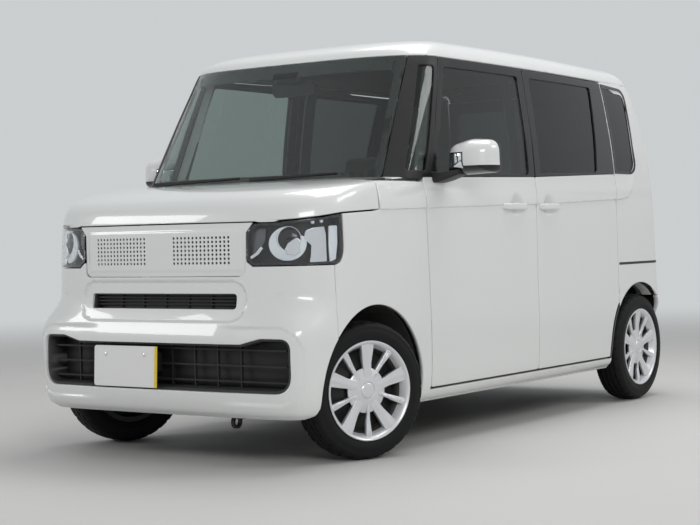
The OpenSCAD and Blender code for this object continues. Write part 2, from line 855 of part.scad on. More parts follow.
module dashboard() color(trim_black) {
    w = cowl_y - 5 * gap;
    back_x = front_wall_x - 30 - seat;
    difference() {
        union() {
            side_prism(-w, w) eased(30)
                polygon([[back_x, belt_z - 100], [door_front_x - 60, belt_z - 92],
                    [door_front_x - 150, belt_z - 150], [door_front_x - 130, belt_z - 330],
                [door_front_x - 30, belt_z - 470], [back_x, belt_z - 470]]);
            // console down to the floor
            translate([door_front_x - 60, -120, floor_z + seat])
                cube([200, 240, belt_z - 450 - floor_z]);
            at_column() translate([0, 0, -250]) cylinder(180, r = 36);
        }
        at_column() translate([0, 0, -170]) cylinder(101, r = column_r + running);
    }
}

steering_tilt = 26;
column_r = 11;
module at_column() {
    translate([door_front_x - 262, -seat_y, belt_z - 190]) rotate([0, -90 + steering_tilt, 0])
        children();
}
module steering_wheel() color(trim_black) at_column() {
    rotate_extrude($fn = 64) translate([steering_d / 2 - 15, 0]) circle(15, $fn = 24);
    cylinder(46, r = 62, center = true);
    for (a = [90, 180, 270]) rotate(a) translate([0, -22, -9]) cube([steering_d / 2 - 18, 44, 18]);
    translate([0, 0, -60]) cylinder(40, r = 24);
    translate([0, 0, -165]) cylinder(120, r = column_r);
}

// Soft seats as plain solids
module pad(size, r) {
    hull() {
        translate([r, r, 0]) cube([size[0] - 2 * r, size[1] - 2 * r, size[2]]);
        translate([r, 0, r]) cube([size[0] - 2 * r, size[1], size[2] - 2 * r]);
        translate([0, r, r]) cube([size[0], size[1] - 2 * r, size[2] - 2 * r]);
    }
}
module front_seat() {
    seat_w = 500;
    seat_h = 250;
    translate([-150, -seat_w / 2, floor_z + 130]) pad([520, seat_w, seat_h - 50], 45);
    translate([-180, -seat_w / 2, floor_z + 290]) rotate([0, -14, 0]) translate([0, 8, 0])
        pad([130, seat_w - 16, 620], 45);
    translate([-322, -130, floor_z + 868]) rotate([0, -14, 0]) pad([100, 260, 190], 40);
    // rails on the floor
    for (y = [-180, 150]) translate([-140, y, floor_z + seat]) cube([440, 30, 150]);
}
module front_seat_left() color(cloth) translate([0, seat_y, 0]) front_seat();
module front_seat_right() color(cloth) translate([0, -seat_y, 0]) front_seat();
module rear_seat() color(cloth) translate([axle_rear + 210, 0, 0]) {
    translate([0, -540, floor_z + 200]) pad([500, 1080, 162], 43);
    translate([-10, -532, floor_z + 300]) rotate([0, -16, 0]) pad([120, 1064, 560], 45);
    for (y = [-290, 290]) translate([-156, y - 120, floor_z + 812]) rotate([0, -16, 0])
        pad([90, 240, 170], 36);
    for (y = [-380, 350]) translate([60, y, floor_z + step_h + 30 + seat]) cube([300, 30, 40]);
}

// Running gear

module engine_block() color(steel) translate([axle_front - 120, -300, 290]) cube([420, 600, 440]);

kingpin_low = [0, wheel_y - 22, 190];
kingpin_top = [0, wheel_y - 117, 815];
kingpin_dir = (kingpin_top - kingpin_low) / norm(kingpin_top - kingpin_low);
ball_r = 15;
// Turns what is drawn straight ahead, at the front axle, to the angle at which the car is parked
module steered(side) {
    axis = [0, side * kingpin_dir[1], kingpin_dir[2]];
    foot = [axle_front, side * kingpin_low[1], kingpin_low[2]];
    translate(foot) rotate(a = -steer_rest, v = axis) translate(-foot) children();
}

// Crossmember, lower arms and the towing eye
tow_eye_r = 16;
tow_eye_t = 14;
tow_eye = [front_x - 180, 270, 164];
module front_subframe() color(steel) {
    difference() {
        union() {
            translate([axle_front - 90, -330, 176]) cube([180, 660, 60]);
            left_and_right() hull() {
                translate([axle_front - 60, 290, 176]) cylinder(30, r = 40);
                translate([axle_front, kingpin_low[1], 168]) cylinder(20, r = 24);
            }
            // legs up to the engine
            left_and_right() translate([axle_front - 60, 200, 230]) cube([120, 60, 60 - seat]);
            // rails back to the floor
            left_and_right() translate([front_wall_x + seat, 270, 190])
                cube([axle_front - front_wall_x - 60, 40, 46]);
            // towing arm and its eye
            translate([axle_front + 80, tow_eye[1] - 12, tow_eye[2] + 8])
                cube([tow_eye[0] - axle_front - 100, 24, 36]);
            translate(tow_eye) rotate([90, 0, 0])
                cylinder(tow_eye_t, r = tow_eye_r + 12, center = true);
        }
        translate(tow_eye) rotate([90, 0, 0]) cylinder(140, r = tow_eye_r, center = true);
        // the ball joints' sockets
        left_and_right() translate([axle_front, kingpin_low[1], kingpin_low[2]])
            sphere(ball_r + running, $fn = 48);
    }
}

stub_len = 74;
strut_y = wheel_y - tyre_w / 2 - 38;
module knuckle_straight() {
    y0 = wheel_y - 66;
    translate([axle_front, y0, axle_z]) rotate([-90, 0, 0]) cylinder(stub_len, d = stub_d);
    // the upright, from the ball joint to the foot of the strut
    hull() {
        translate([axle_front - 26, y0 - 16, axle_z - 50]) cube([52, 20, 100]);
        translate([axle_front - 18, strut_y - 12, axle_z + 50]) cube([36, 30, 60]);
    }
    hull() {
        translate([axle_front - 20, y0 - 14, axle_z - 50]) cube([40, 18, 20]);
        translate([axle_front, kingpin_low[1], kingpin_low[2] + 8]) cylinder(12, r = 12);
    }
    translate([axle_front, kingpin_low[1], kingpin_low[2]]) sphere(ball_r, $fn = 48);
    translate([axle_front, strut_y, axle_z + 60]) {
        cylinder(280, d = 46);
        cylinder(kingpin_top[2] - axle_z - 60, d = 22);
        translate([0, 0, 235]) cylinder(14, d = 130);
    }
}
module knuckle_left() color(steel) steered(1) knuckle_straight();
module knuckle_right() color(steel) steered(-1) mirror([0, 1, 0]) knuckle_straight();

module rear_axle() color(steel) {
    arm_y = rear_house_y - house_gap;
    translate([axle_rear + 150, -arm_y + 20, axle_z - 30]) rotate([-90, 0, 0])
        cylinder(2 * arm_y - 40, d = 70);
    left_and_right() {
        hull() {
            translate([step_x - 28 - seat, arm_y - 40, axle_z - 40]) rotate([-90, 0, 0])
                cylinder(40, d = 56);
            translate([axle_rear, arm_y - 40, axle_z]) rotate([-90, 0, 0]) cylinder(40, d = 90);
        }
        translate([axle_rear, arm_y - 1, axle_z]) rotate([-90, 0, 0])
            cylinder(wheel_y + 9 - arm_y, d = stub_d);
    }
}

module exhaust() color(steel) {
    pipe_z = floor_z - floor_t - 34;
    muffler_x = axle_rear - 210;
    translate([muffler_x + 30, 400, pipe_z]) rotate([0, 90, 0])
        cylinder(axle_front - 260 - axle_rear, d = 46);
    translate([muffler_x, 430, pipe_z + 26]) rotate([90, 0, 0]) cylinder(620, d = 150);
    // hangers under the rear floor
    for (y = [-80, 320]) translate([muffler_x, y, pipe_z + 60])
        cylinder(floor_z + step_h - seat - pipe_z - 60, d = 14);
}

// Wheels: a rim barrel with a spoked cover over it, a hub with the stub axle's bore, and a tyre

hub_y = 10;
spoke_face = 56;
module wheel_rim() {
    flange = rim_d / 2;
    half = rim_w / 2;
    rotate_extrude($fn = 96)
        polygon([[flange - 22, -half], [flange, -half], [flange, -half + 8], [flange - 8, -half + 14],
        [flange - 20, -half + 44], [flange - 20, half - 44], [flange - 8, half - 14],
        [flange, half - 8], [flange, half], [flange - 26, half], [flange - 32, half - 40],
        [flange - 32, -half + 40]]);
}
module spoke(w_in, w_out, lift) {
    r_in = 40;
    r_out = rim_d / 2 - 14;
    translate([0, 0, lift]) linear_extrude(14)
        polygon([[r_in, -w_in / 2], [r_out, -w_out / 2], [r_out, w_out / 2], [r_in, w_in / 2]]);
}
module wheel() difference() {
    union() {
        wheel_rim();
        // steel disc behind the cover
        translate([0, 0, 22]) cylinder(10, r = rim_d / 2 - 26);
        translate([0, 0, -34]) cylinder(spoke_face + 25, r = 48);
        for (i = [0 : spoke_pairs - 1]) rotate(i * 360 / spoke_pairs) {
            spoke(44, 46, spoke_face - 16);
            rotate(180 / spoke_pairs) spoke(22, 26, spoke_face - 18);
        }
    }
    translate([0, 0, -100]) cylinder(100 + hub_y, d = stub_d + 2 * running);
}
module tyre() {
    r = tyre_d / 2;
    w = tyre_w / 2;
    bead = rim_d / 2;
    rotate_extrude($fn = 96) polygon(concat(
        [[bead + 0.4, -rim_w / 2 + 9], [bead + 0.4, -rim_w / 2 - 1]],
        [for (a = [-60 : 15 : 45]) [(r + bead) / 2 + 34 * sin(a), -w + 9 * (1 - cos(a))]],
        [[r - 12, -w + 10], [r - 3, -w + 24], [r, -w + 44], [r, w - 44], [r - 3, w - 24],
        [r - 12, w - 10]],
        [for (a = [45 : -15 : -60]) [(r + bead) / 2 + 34 * sin(a), w - 9 * (1 - cos(a))]],
        [[bead + 0.4, rim_w / 2 + 1], [bead + 0.4, rim_w / 2 - 9]],
        [[bead - 7, rim_w / 2 - 15], [bead - 19, rim_w / 2 - 43], [bead - 19, -rim_w / 2 + 43],
        [bead - 7, -rim_w / 2 + 15]]));
}
// Stands a wheel, drawn face up, on its axle with the face outwards
module at_axle(x, side) translate([x, side * wheel_y, axle_z]) rotate([-90 * side, 0, 0]) children();

module wheel_front_left() color(silver) steered(1) at_axle(axle_front, 1) wheel();
module wheel_front_right() color(silver) steered(-1) at_axle(axle_front, -1) wheel();
module wheel_rear_left() color(silver) at_axle(axle_rear, 1) wheel();
module wheel_rear_right() color(silver) at_axle(axle_rear, -1) wheel();
module tyre_front_left() color(rubber) steered(1) at_axle(axle_front, 1) tyre();
module tyre_front_right() color(rubber) steered(-1) at_axle(axle_front, -1) tyre();
module tyre_rear_left() color(rubber) at_axle(axle_rear, 1) tyre();
module tyre_rear_right() color(rubber) at_axle(axle_rear, -1) tyre();

floor_pan();
wheelhouses();
side_frame_left();
side_frame_right();
roof_panel();
cowl_panel();
windshield();
side_glasses();
fender_left();
fender_right();
front_bumper();
grille_panel();
lower_grille();
headlamps();
headlamp_lenses();
rear_bumper();
tail_lamps();
sliding_door_left();
sliding_door_right();
hinge_pins();
door_hinges_left();
door_hinges_right();
hood_hinges();
tailgate_hinges();
wipers();
dashboard();
front_seat_left();
front_seat_right();
rear_seat();
engine_block();
front_subframe();
rear_axle();
exhaust();
door_left();
door_right();
door_glass_left();
door_glass_right();
mirror_left();
mirror_right();
hood();
tailgate();
tailgate_glass();
rear_wiper();
knuckle_left();
knuckle_right();
steering_wheel();
wheel_front_left();
wheel_front_right();
wheel_rear_left();
wheel_rear_right();
tyre_front_left();
tyre_front_right();
tyre_rear_left();
tyre_rear_right();
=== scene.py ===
# %% [markdown]
# # A tall, boxy kei car
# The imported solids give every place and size, and every joint. Over them this script lays what the eye
# meets: pressed panels with rolled edges, tinted glass, lamps, wheel covers, tyres, seats and trim.
# All lengths below are millimetres, because the drawing is in millimetres. A mesh becomes metres at the
# very end, in the one helper that makes objects.

# %% Load the solids
from math import acos, asin, cos, pi, radians, sin

import bmesh
import bpy
import numpy as np
from mathutils import Matrix, Vector
from mathutils.geometry import delaunay_2d_cdt


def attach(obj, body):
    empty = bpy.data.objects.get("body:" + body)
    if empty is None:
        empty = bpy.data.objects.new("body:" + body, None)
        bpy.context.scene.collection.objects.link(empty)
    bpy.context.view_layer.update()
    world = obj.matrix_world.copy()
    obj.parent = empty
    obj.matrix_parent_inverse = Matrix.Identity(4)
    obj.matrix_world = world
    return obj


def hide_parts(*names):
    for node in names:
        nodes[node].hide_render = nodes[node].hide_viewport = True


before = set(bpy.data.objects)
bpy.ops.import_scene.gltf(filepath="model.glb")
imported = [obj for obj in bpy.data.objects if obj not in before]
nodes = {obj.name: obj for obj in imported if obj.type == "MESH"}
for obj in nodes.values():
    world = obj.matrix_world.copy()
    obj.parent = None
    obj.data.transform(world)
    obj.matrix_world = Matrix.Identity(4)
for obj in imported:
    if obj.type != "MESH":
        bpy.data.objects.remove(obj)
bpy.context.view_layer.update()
print("solids loaded:", len(nodes))

# %% [markdown]
# The camera stands ahead of the car's left front corner, a little above the hood, with a long lens. Its
# place was worked out from points of the car that show in the photograph. A camera looks along its own
# minus Z, so its axes are built from the view direction and a small roll.

# %% Camera
EYE = Vector((6.475, 4.290, 0.895))
YAW, PITCH, ROLL = -2.5336, -0.0162, -0.0219
LENS, SENSOR = 81.805, 36.0

look = Vector((cos(YAW) * cos(PITCH), sin(YAW) * cos(PITCH), sin(PITCH)))
level_right = look.cross(Vector((0, 0, 1))).normalized()
level_up = level_right.cross(look)
right = cos(ROLL) * level_right + sin(ROLL) * level_up
up = cos(ROLL) * level_up - sin(ROLL) * level_right

camera_data = bpy.data.cameras.new("photo_camera")
camera_data.lens = LENS
camera_data.sensor_fit = "HORIZONTAL"
camera_data.sensor_width = SENSOR
camera = bpy.data.objects.new("photo_camera", camera_data)
turn = Matrix((right, up, -look)).transposed().to_4x4()
camera.matrix_world = Matrix.Translation(EYE) @ turn
scene = bpy.context.scene
scene.collection.objects.link(camera)
scene.camera = camera
scene.view_settings.view_transform = "Standard"
print("camera stands", round(EYE.length, 2), "m from the car's middle")

# %% [markdown]
# A finish is a Principled shader fed by a shared node group. The group breaks up colour and roughness
# with two sizes of noise: a broad one for the film of dust and handling that every car carries, and a
# fine one for the grain of the material itself. The fine noise also comes out as a height, so that a bump
# gives moulded plastic its grain and paint its faint orange peel. Building it once keeps the finishes
# alike in kind, and each material only sets its own numbers.

# %% Shared shader groups
def shader_group(name, inputs, outputs):
    group = bpy.data.node_groups.new(name, "ShaderNodeTree")
    for socket, kind, value in inputs:
        made = group.interface.new_socket(socket, in_out="INPUT", socket_type=kind)
        if value is not None:
            made.default_value = value
    for socket, kind in outputs:
        group.interface.new_socket(socket, in_out="OUTPUT", socket_type=kind)
    return group, group.nodes.new("NodeGroupInput"), group.nodes.new("NodeGroupOutput")


def add(tree, kind, values=(), **settings):
    node = tree.nodes.new(kind)
    for key, value in settings.items():
        setattr(node, key, value)
    for socket, value in values:
        if isinstance(value, bpy.types.NodeSocket):
            tree.links.new(value, node.inputs[socket])
        else:
            node.inputs[socket].default_value = value
    return node


FLOAT, COLOR, VECTOR = "NodeSocketFloat", "NodeSocketColor", "NodeSocketVector"
grain_group, g_in, g_out = shader_group(
    "grain_and_film",
    [("Vector", VECTOR, None), ("Colour", COLOR, (0.5, 0.5, 0.5, 1)), ("Film Colour", COLOR, (0.4, 0.4, 0.4, 1)),
     ("Film", FLOAT, 0.1), ("Grain Scale", FLOAT, 300.0), ("Roughness", FLOAT, 0.4), ("Spread", FLOAT, 0.08)],
    [("Colour", COLOR), ("Roughness", FLOAT), ("Height", FLOAT)])
broad = add(grain_group, "ShaderNodeTexNoise",
            [("Vector", g_in.outputs["Vector"]), ("Scale", 3.2), ("Detail", 5.0), ("Roughness", 0.62)])
fine = add(grain_group, "ShaderNodeTexNoise",
           [("Vector", g_in.outputs["Vector"]), ("Scale", g_in.outputs["Grain Scale"]), ("Detail", 3.0)])
film = add(grain_group, "ShaderNodeMath", [(0, broad.outputs["Fac"]), (1, g_in.outputs["Film"])],
           operation="MULTIPLY")
stained = add(grain_group, "ShaderNodeMix", [(0, film.outputs[0]), (6, g_in.outputs["Colour"]),
                                             (7, g_in.outputs["Film Colour"])], data_type="RGBA")
centred = add(grain_group, "ShaderNodeMath", [(0, broad.outputs["Fac"]), (1, 0.5)], operation="SUBTRACT")
spread = add(grain_group, "ShaderNodeMath", [(0, centred.outputs[0]), (1, g_in.outputs["Spread"]),
                                             (2, g_in.outputs["Roughness"])], operation="MULTIPLY_ADD")
grain_group.links.new(stained.outputs[2], g_out.inputs["Colour"])
grain_group.links.new(spread.outputs[0], g_out.inputs["Roughness"])
grain_group.links.new(fine.outputs["Fac"], g_out.inputs["Height"])

weave_group, w_in, w_out = shader_group(
    "woven_threads", [("Vector", VECTOR, None), ("Thread Scale", FLOAT, 900.0)],
    [("Height", FLOAT), ("Mask", FLOAT)])
scaled = add(weave_group, "ShaderNodeVectorMath",
             [(0, w_in.outputs["Vector"]), ("Scale", w_in.outputs["Thread Scale"])], operation="SCALE")
axes = add(weave_group, "ShaderNodeSeparateXYZ", [(0, scaled.outputs[0])])
across = add(weave_group, "ShaderNodeMath", [(0, axes.outputs[0]), (1, axes.outputs[2])], operation="ADD")
warp = add(weave_group, "ShaderNodeMath", [(0, across.outputs[0])], operation="SINE")
weft = add(weave_group, "ShaderNodeMath", [(0, axes.outputs[1])], operation="SINE")
crossing = add(weave_group, "ShaderNodeMath", [(0, warp.outputs[0]), (1, weft.outputs[0])], operation="MULTIPLY")
lifted = add(weave_group, "ShaderNodeMath", [(0, crossing.outputs[0]), (1, 0.5), (2, 0.5)],
             operation="MULTIPLY_ADD")
weave_group.links.new(lifted.outputs[0], w_out.inputs["Height"])
# The raised-thread field also goes out as a colour mask: a painted highlight on the thread tops
weave_group.links.new(lifted.outputs[0], w_out.inputs["Mask"])


def finish(name, colour, rough, film=0.08, film_colour=(0.35, 0.33, 0.3), grain=320.0, bump=0.05, spread=0.08,
           weave=0.0, plain=()):
    """A Principled material: colour, roughness and bump come from the groups, plain values sit on the shader."""
    material = bpy.data.materials.new(name)
    material.use_nodes = True
    tree = material.node_tree
    shader = tree.nodes["Principled BSDF"]
    place = add(tree, "ShaderNodeTexCoord")
    base = add(tree, "ShaderNodeGroup", node_tree=grain_group)
    for socket, value in (("Vector", place.outputs["Object"]), ("Colour", (*colour, 1)),
                          ("Film Colour", (*film_colour, 1)), ("Film", film), ("Grain Scale", grain),
                          ("Roughness", rough), ("Spread", spread)):
        if isinstance(value, bpy.types.NodeSocket):
            tree.links.new(value, base.inputs[socket])
        else:
            base.inputs[socket].default_value = value
    height, colour_out = base.outputs["Height"], base.outputs["Colour"]
    if weave:
        threads = add(tree, "ShaderNodeGroup", node_tree=weave_group)
        tree.links.new(place.outputs["Object"], threads.inputs["Vector"])
        threads.inputs["Thread Scale"].default_value = weave
        height = threads.outputs["Height"]
        # Woven cloth: the colour is made lighter where the threads stand highest, a painted highlight on the thread
        # tops that leaves the hollows between them as painted shade
        lit_thread_tops = add(tree, "ShaderNodeMix", [(0, threads.outputs["Mask"]), (6, colour_out),
                                            (7, (*[c * 1.5 for c in colour], 1))], data_type="RGBA")
        colour_out = lit_thread_tops.outputs[2]
    relief = add(tree, "ShaderNodeBump", [("Strength", bump), ("Distance", 0.0006), ("Height", height)])
    tree.links.new(colour_out, shader.inputs["Base Color"])
    tree.links.new(base.outputs["Roughness"], shader.inputs["Roughness"])
    tree.links.new(relief.outputs["Normal"], shader.inputs["Normal"])
    for socket, value in plain:
        shader.inputs[socket].default_value = value
    return material


COAT = (("Coat Weight", 1.0), ("Coat Roughness", 0.03))
pearl = finish("pearl_white_paint", (0.80, 0.81, 0.80), 0.32, film=0.05, grain=1400.0, bump=0.03, plain=COAT)
gloss_black = finish("gloss_black_trim", (0.008, 0.008, 0.009), 0.16, film=0.03, bump=0.02,
                     plain=(("Coat Weight", 0.25), ("Coat Roughness", 0.05), ("Specular IOR Level", 0.3)))
satin_black = finish("satin_black_trim", (0.014, 0.014, 0.015), 0.42, film=0.05, grain=700.0, bump=0.12,
                     plain=(("Specular IOR Level", 0.3),))
moulded_black = finish("moulded_black_plastic", (0.02, 0.02, 0.021), 0.55, film=0.12, grain=520.0, bump=0.3)
cabin_grey = finish("cabin_plastic", (0.055, 0.053, 0.052), 0.62, film=0.1, grain=620.0, bump=0.35)
cabin_light = finish("cabin_pale_trim", (0.42, 0.40, 0.37), 0.7, film=0.08, grain=620.0, bump=0.25)
chassis = finish("chassis_steel", (0.05, 0.05, 0.052), 0.55, film=0.25, film_colour=(0.16, 0.13, 0.1),
                 grain=180.0, bump=0.3, plain=(("Metallic", 0.6),))
rubber = finish("tyre_rubber", (0.006, 0.006, 0.0065), 0.6, film=0.10, film_colour=(0.03, 0.029, 0.027),
                grain=420.0, bump=0.25, plain=(("Specular IOR Level", 0.22),))
wheel_silver = finish("wheel_silver", (0.74, 0.75, 0.77), 0.3, film=0.05, grain=1600.0, bump=0.03,
                      plain=(("Metallic", 0.35), ("Coat Weight", 0.7), ("Coat Roughness", 0.06)))
chrome = finish("bright_reflector", (0.82, 0.83, 0.85), 0.08, film=0.03, bump=0.01, plain=(("Metallic", 1.0),))
seat_cloth = finish("seat_cloth", (0.10, 0.095, 0.09), 0.85, film=0.1, bump=0.6, weave=2600.0,
                    plain=(("Sheen Weight", 0.35),))
plate_white = finish("plate_white", (0.84, 0.84, 0.83), 0.38, film=0.04, bump=0.05)
plate_yellow = finish("plate_edge_yellow", (0.85, 0.62, 0.02), 0.4, film=0.04, bump=0.05)
light_guide = finish("light_guide_white", (0.86, 0.90, 0.92), 0.25, film=0.02, bump=0.02,
                     plain=(("Coat Weight", 0.8), ("Emission Color", (0.8, 0.9, 1.0, 1)),
                            ("Emission Strength", 0.12)))
red_lens = finish("red_lens", (0.42, 0.006, 0.008), 0.12, film=0.03, bump=0.02,
                  plain=(("Coat Weight", 1.0), ("Transmission Weight", 0.25)))


def glass(name, colour, rough=0.015):
    made = finish(name, colour, rough, film=0.02, bump=0.0, spread=0.01)
    shader = made.node_tree.nodes["Principled BSDF"]
    shader.inputs["Transmission Weight"].default_value = 1.0
    shader.inputs["IOR"].default_value = 1.42
    return made


screen_glass = glass("screen_glass", (0.80, 0.88, 0.85))
# Front side glass: a light green tint of its own, made darker than that as a painted reflection, standing in for
# the dark surroundings the windows mirror
side_glass = glass("side_glass", (0.26, 0.31, 0.29))
privacy_glass = glass("privacy_glass", (0.05, 0.055, 0.055))
lens_clear = glass("lens_clear", (0.96, 0.97, 0.98), 0.01)
print("materials:", len(bpy.data.materials))

# %% [markdown]
# The body's outside is drawn as plan sections at a row of heights. A section has a superellipse corner at
# the front, a softly bowed side and a tighter corner at the rear. The table is the drawing's own. Straight
# lines between its rows would show as facets in gloss paint, so a monotone cubic runs through each column:
# it is smooth, and it never swings past the rows as an ordinary spline would.

# %% Sections of the body
FRONT_X, REAR_X, HALF_W = 1697.5, -1697.5, 737.5
REAR_CORNER, FRONT_SQUARE, REAR_SQUARE = 210.0, 3.5, 4.0
# Columns: height, front set-back, rear set-back, then the side's set-in at the front, middle and rear
LOWER_ROWS = [
    (190, 66, 60, 52, 52, 60), (222, 26, 24, 20, 20, 28), (290, 6, 6, 6, 6, 14), (370, 0, 0, 1.5, 1.5, 9),
    (500, 3, 2, 0, 0, 8), (570, 20, 8, 0.6, 0.4, 8.5), (630, 31, 16, 1.4, 1, 9.5), (760, 37, 21, 2.6, 2, 12),
    (960, 50, 27, 5, 3.4, 16), (1010, 62, 28, 7, 4.2, 18), (1050, 92, 29, 10, 5, 20), (1080, 148, 30, 14, 5.6, 22),
    (1100, 225, 31, 18, 6.2, 23), (1120, 367, 32, 23, 6.8, 24), (1135, 527, 33, 27, 7.4, 25),
    (1143, 650, 34, 31, 8, 26)]
UPPER_ROWS = [
    (1100, 622, 33, 15, 6, 22), (1150, 649, 36, 19, 8, 26), (1310, 738, 48, 33, 20, 46),
    (1460, 820, 72, 50, 40, 72), (1585, 890, 104, 67, 60, 98), (1672, 937, 132, 83, 76, 122),
    (1700, 955, 148, 95, 88, 134), (1722, 987, 172, 112, 104, 150), (1742, 1047, 215, 139, 130, 177),
    (1758, 1130, 285, 180, 171, 218), (1771, 1250, 390, 242, 232, 280), (1781, 1400, 560, 325, 315, 362),
    (1787, 1560, 760, 440, 430, 475), (1790, 1750, 1000, 590, 580, 620)]


def smooth_columns(rows):
    """A monotone cubic through each column of a table, as a function of the first column."""
    table = np.array(rows, float)
    x, y = table[:, 0], table[:, 1:]
    h = np.diff(x)[:, None]
    slope = np.diff(y, axis=0) / h
    tangent = np.vstack([slope[:1], np.zeros_like(slope[1:]), slope[-1:]])
    before, after = slope[:-1], slope[1:]
    w1, w2 = 2 * h[1:] + h[:-1], h[1:] + 2 * h[:-1]
    same = before * after > 0
    with np.errstate(divide="ignore", invalid="ignore"):
        tangent[1:-1] = np.where(same, (w1 + w2) / (w1 / before + w2 / after), 0.0)

    def at(z):
        z = np.clip(z, x[0], x[-1])
        i = np.clip(np.searchsorted(x, z) - 1, 0, len(x) - 2)
        step = (x[i + 1] - x[i])[:, None]
        t = (z - x[i])[:, None] / step
        return ((1 + 2 * t) * (1 - t) ** 2 * y[i] + t * (1 - t) ** 2 * step * tangent[i]
                + t * t * (3 - 2 * t) * y[i + 1] + t * t * (t - 1) * step * tangent[i + 1])
    return at


class Skin:
    """The body's outside as y, x or z of a point seen from the side, the front, the rear or above."""

    def __init__(self, rows, corner):
        self.at, self.corner = smooth_columns(rows), corner
        self.low, self.high = rows[0][0], rows[-1][0]

    def ends(self, z):
        sets = self.at(np.asarray(z, float))
        return FRONT_X - sets[:, 0], REAR_X + sets[:, 1], *(HALF_W - sets[:, k] for k in (2, 3, 4))

    def side(self, x, z):
        nose, tail, wide_f, wide_m, wide_r = self.ends(z)
        start, end = nose - self.corner, tail + REAR_CORNER
        t = np.clip((start - x) / (start - end), 0, 1)
        bowed = wide_f * (1 - t) * (1 - 2 * t) + 4 * wide_m * t * (1 - t) + wide_r * t * (2 * t - 1)
        ahead = np.clip((x - start) / self.corner, 0, 1)
        behind = np.clip((end - x) / REAR_CORNER, 0, 1)
        front_round = (1 - ahead ** FRONT_SQUARE) ** (1 / FRONT_SQUARE)
        return bowed * front_round * (1 - behind ** REAR_SQUARE) ** (1 / REAR_SQUARE)

    def front(self, y, z):
        nose, _, wide, _, _ = self.ends(z)
        share = np.clip(np.abs(y) / wide, 0, 1)
        return nose - self.corner + self.corner * (1 - share ** FRONT_SQUARE) ** (1 / FRONT_SQUARE)

    def rear(self, y, z):
        _, tail, _, _, wide = self.ends(z)
        share = np.clip(np.abs(y) / wide, 0, 1)
        return tail + REAR_CORNER - REAR_CORNER * (1 - share ** REAR_SQUARE) ** (1 / REAR_SQUARE)

    def top(self, x, y, low):
        lo, hi = np.full(len(x), float(low)), np.full(len(x), float(self.high))
        for _ in range(34):
            mid = (lo + hi) / 2
            nose, tail, *_ = self.ends(mid)
            inside = (np.abs(y) <= self.side(x, mid)) & (x <= nose) & (x >= tail)
            lo, hi = np.where(inside, mid, lo), np.where(inside, hi, mid)
        return lo


lower = Skin(LOWER_ROWS, 400.0)
# Doors, quarters, tailgate and roof meet at the window line without a step
whole = Skin([row for row in LOWER_ROWS if row[0] < 1090] + UPPER_ROWS, 300.0)
print("half width at the door handles:", round(float(lower.side(np.array([0.0]), np.array([1024.0]))[0]), 1))

# %% [markdown]
# A panel that goes round a corner of the car can't be drawn in side view or in front view alone, because
# it runs edge-on in one of them. It is drawn on the unrolled skin instead: one coordinate runs round the
# plan section and the other is the height, or the length along the hood's profile where that lies flat.

# %% Unrolled corners
class Wrap:
    """Plan coordinate s: 0 at the middle of the front or rear, growing round the left side."""

    def __init__(self, skin, front):
        self.skin, self.forward = skin, front
        self.corner, self.square = (skin.corner, FRONT_SQUARE) if front else (REAR_CORNER, REAR_SQUARE)
        angle = np.linspace(0, pi / 2, 2001)
        x = self.corner * np.cos(angle) ** (2 / self.square)
        y = 720.0 * np.sin(angle) ** (2 / self.square)
        self.angle = angle
        self.run = np.concatenate([[0], np.cumsum(np.hypot(np.diff(x), np.diff(y)))])
        self.length = self.run[-1]
        heights = np.linspace(skin.low, skin.high, 1500)
        sets = skin.at(heights)[:, 0 if front else 1]
        self.heights = heights
        self.profile = skin.low + np.concatenate([[0], np.cumsum(np.hypot(np.diff(heights), np.diff(sets)))])

    def base(self, z):
        nose, tail, wide_f, _, wide_r = self.skin.ends(z)
        return (nose - self.corner, wide_f) if self.forward else (tail + self.corner, wide_r)

    def v(self, z):
        return np.interp(z, self.heights, self.profile)

    def z(self, v):
        return np.interp(v, self.profile, self.heights)

    def point(self, s, v):
        z = self.z(v)
        start, wide = self.base(z)
        angle = np.interp(np.abs(s), self.run, self.angle)
        past = np.maximum(np.abs(s) - self.length, 0)
        sense = 1 if self.forward else -1
        x = start + sense * (self.corner * np.maximum(np.cos(angle), 0) ** (2 / self.square) - past)
        y = np.where(past > 0, self.skin.side(x, z), wide * np.sin(angle) ** (2 / self.square))
        return np.column_stack([x, np.sign(s) * y, z])

    def by_y(self, y, z):
        z = np.atleast_1d(np.asarray(z, float))
        _, wide = self.base(z)
        angle = np.arcsin(np.clip(abs(y) / wide, 0, 1) ** (self.square / 2))
        return float(np.sign(y) * np.interp(angle, self.angle, self.run)[0]), float(self.v(z)[0])

    def by_x(self, x, z, side=1):
        z = np.atleast_1d(np.asarray(z, float))
        start, _ = self.base(z)
        ahead = (x - start if self.forward else start - x) / self.corner
        if ahead[0] <= 0:
            return side * float(self.length - ahead[0] * self.corner), float(self.v(z)[0])
        angle = np.arccos(np.clip(ahead, 0, 1) ** (self.square / 2))
        return side * float(np.interp(angle, self.angle, self.run)[0]), float(self.v(z)[0])


nose_wrap = Wrap(lower, True)
screen_wrap = Wrap(whole, True)
tail_wrap = Wrap(whole, False)
print("unrolled front corner:", round(nose_wrap.length), "rear corner:", round(tail_wrap.length))

# %% [markdown]
# Every outside panel is made by one helper, the way a press shop makes it: a blank with an outline and
# holes, laid on the form, its edges rolled over a small radius and turned in as a flange. The blank is
# filled by a Delaunay triangulation with points on a grid, each point is lifted onto the form, and the
# normals are taken from the form itself. So reflections run clean across the triangles.

# %% Panel helper
def arc(cx, cz, r, a0, a1, steps=24):
    return [(cx + r * cos(radians(a0 + (a1 - a0) * i / steps)), cz + r * sin(radians(a0 + (a1 - a0) * i / steps)))
            for i in range(steps + 1)]


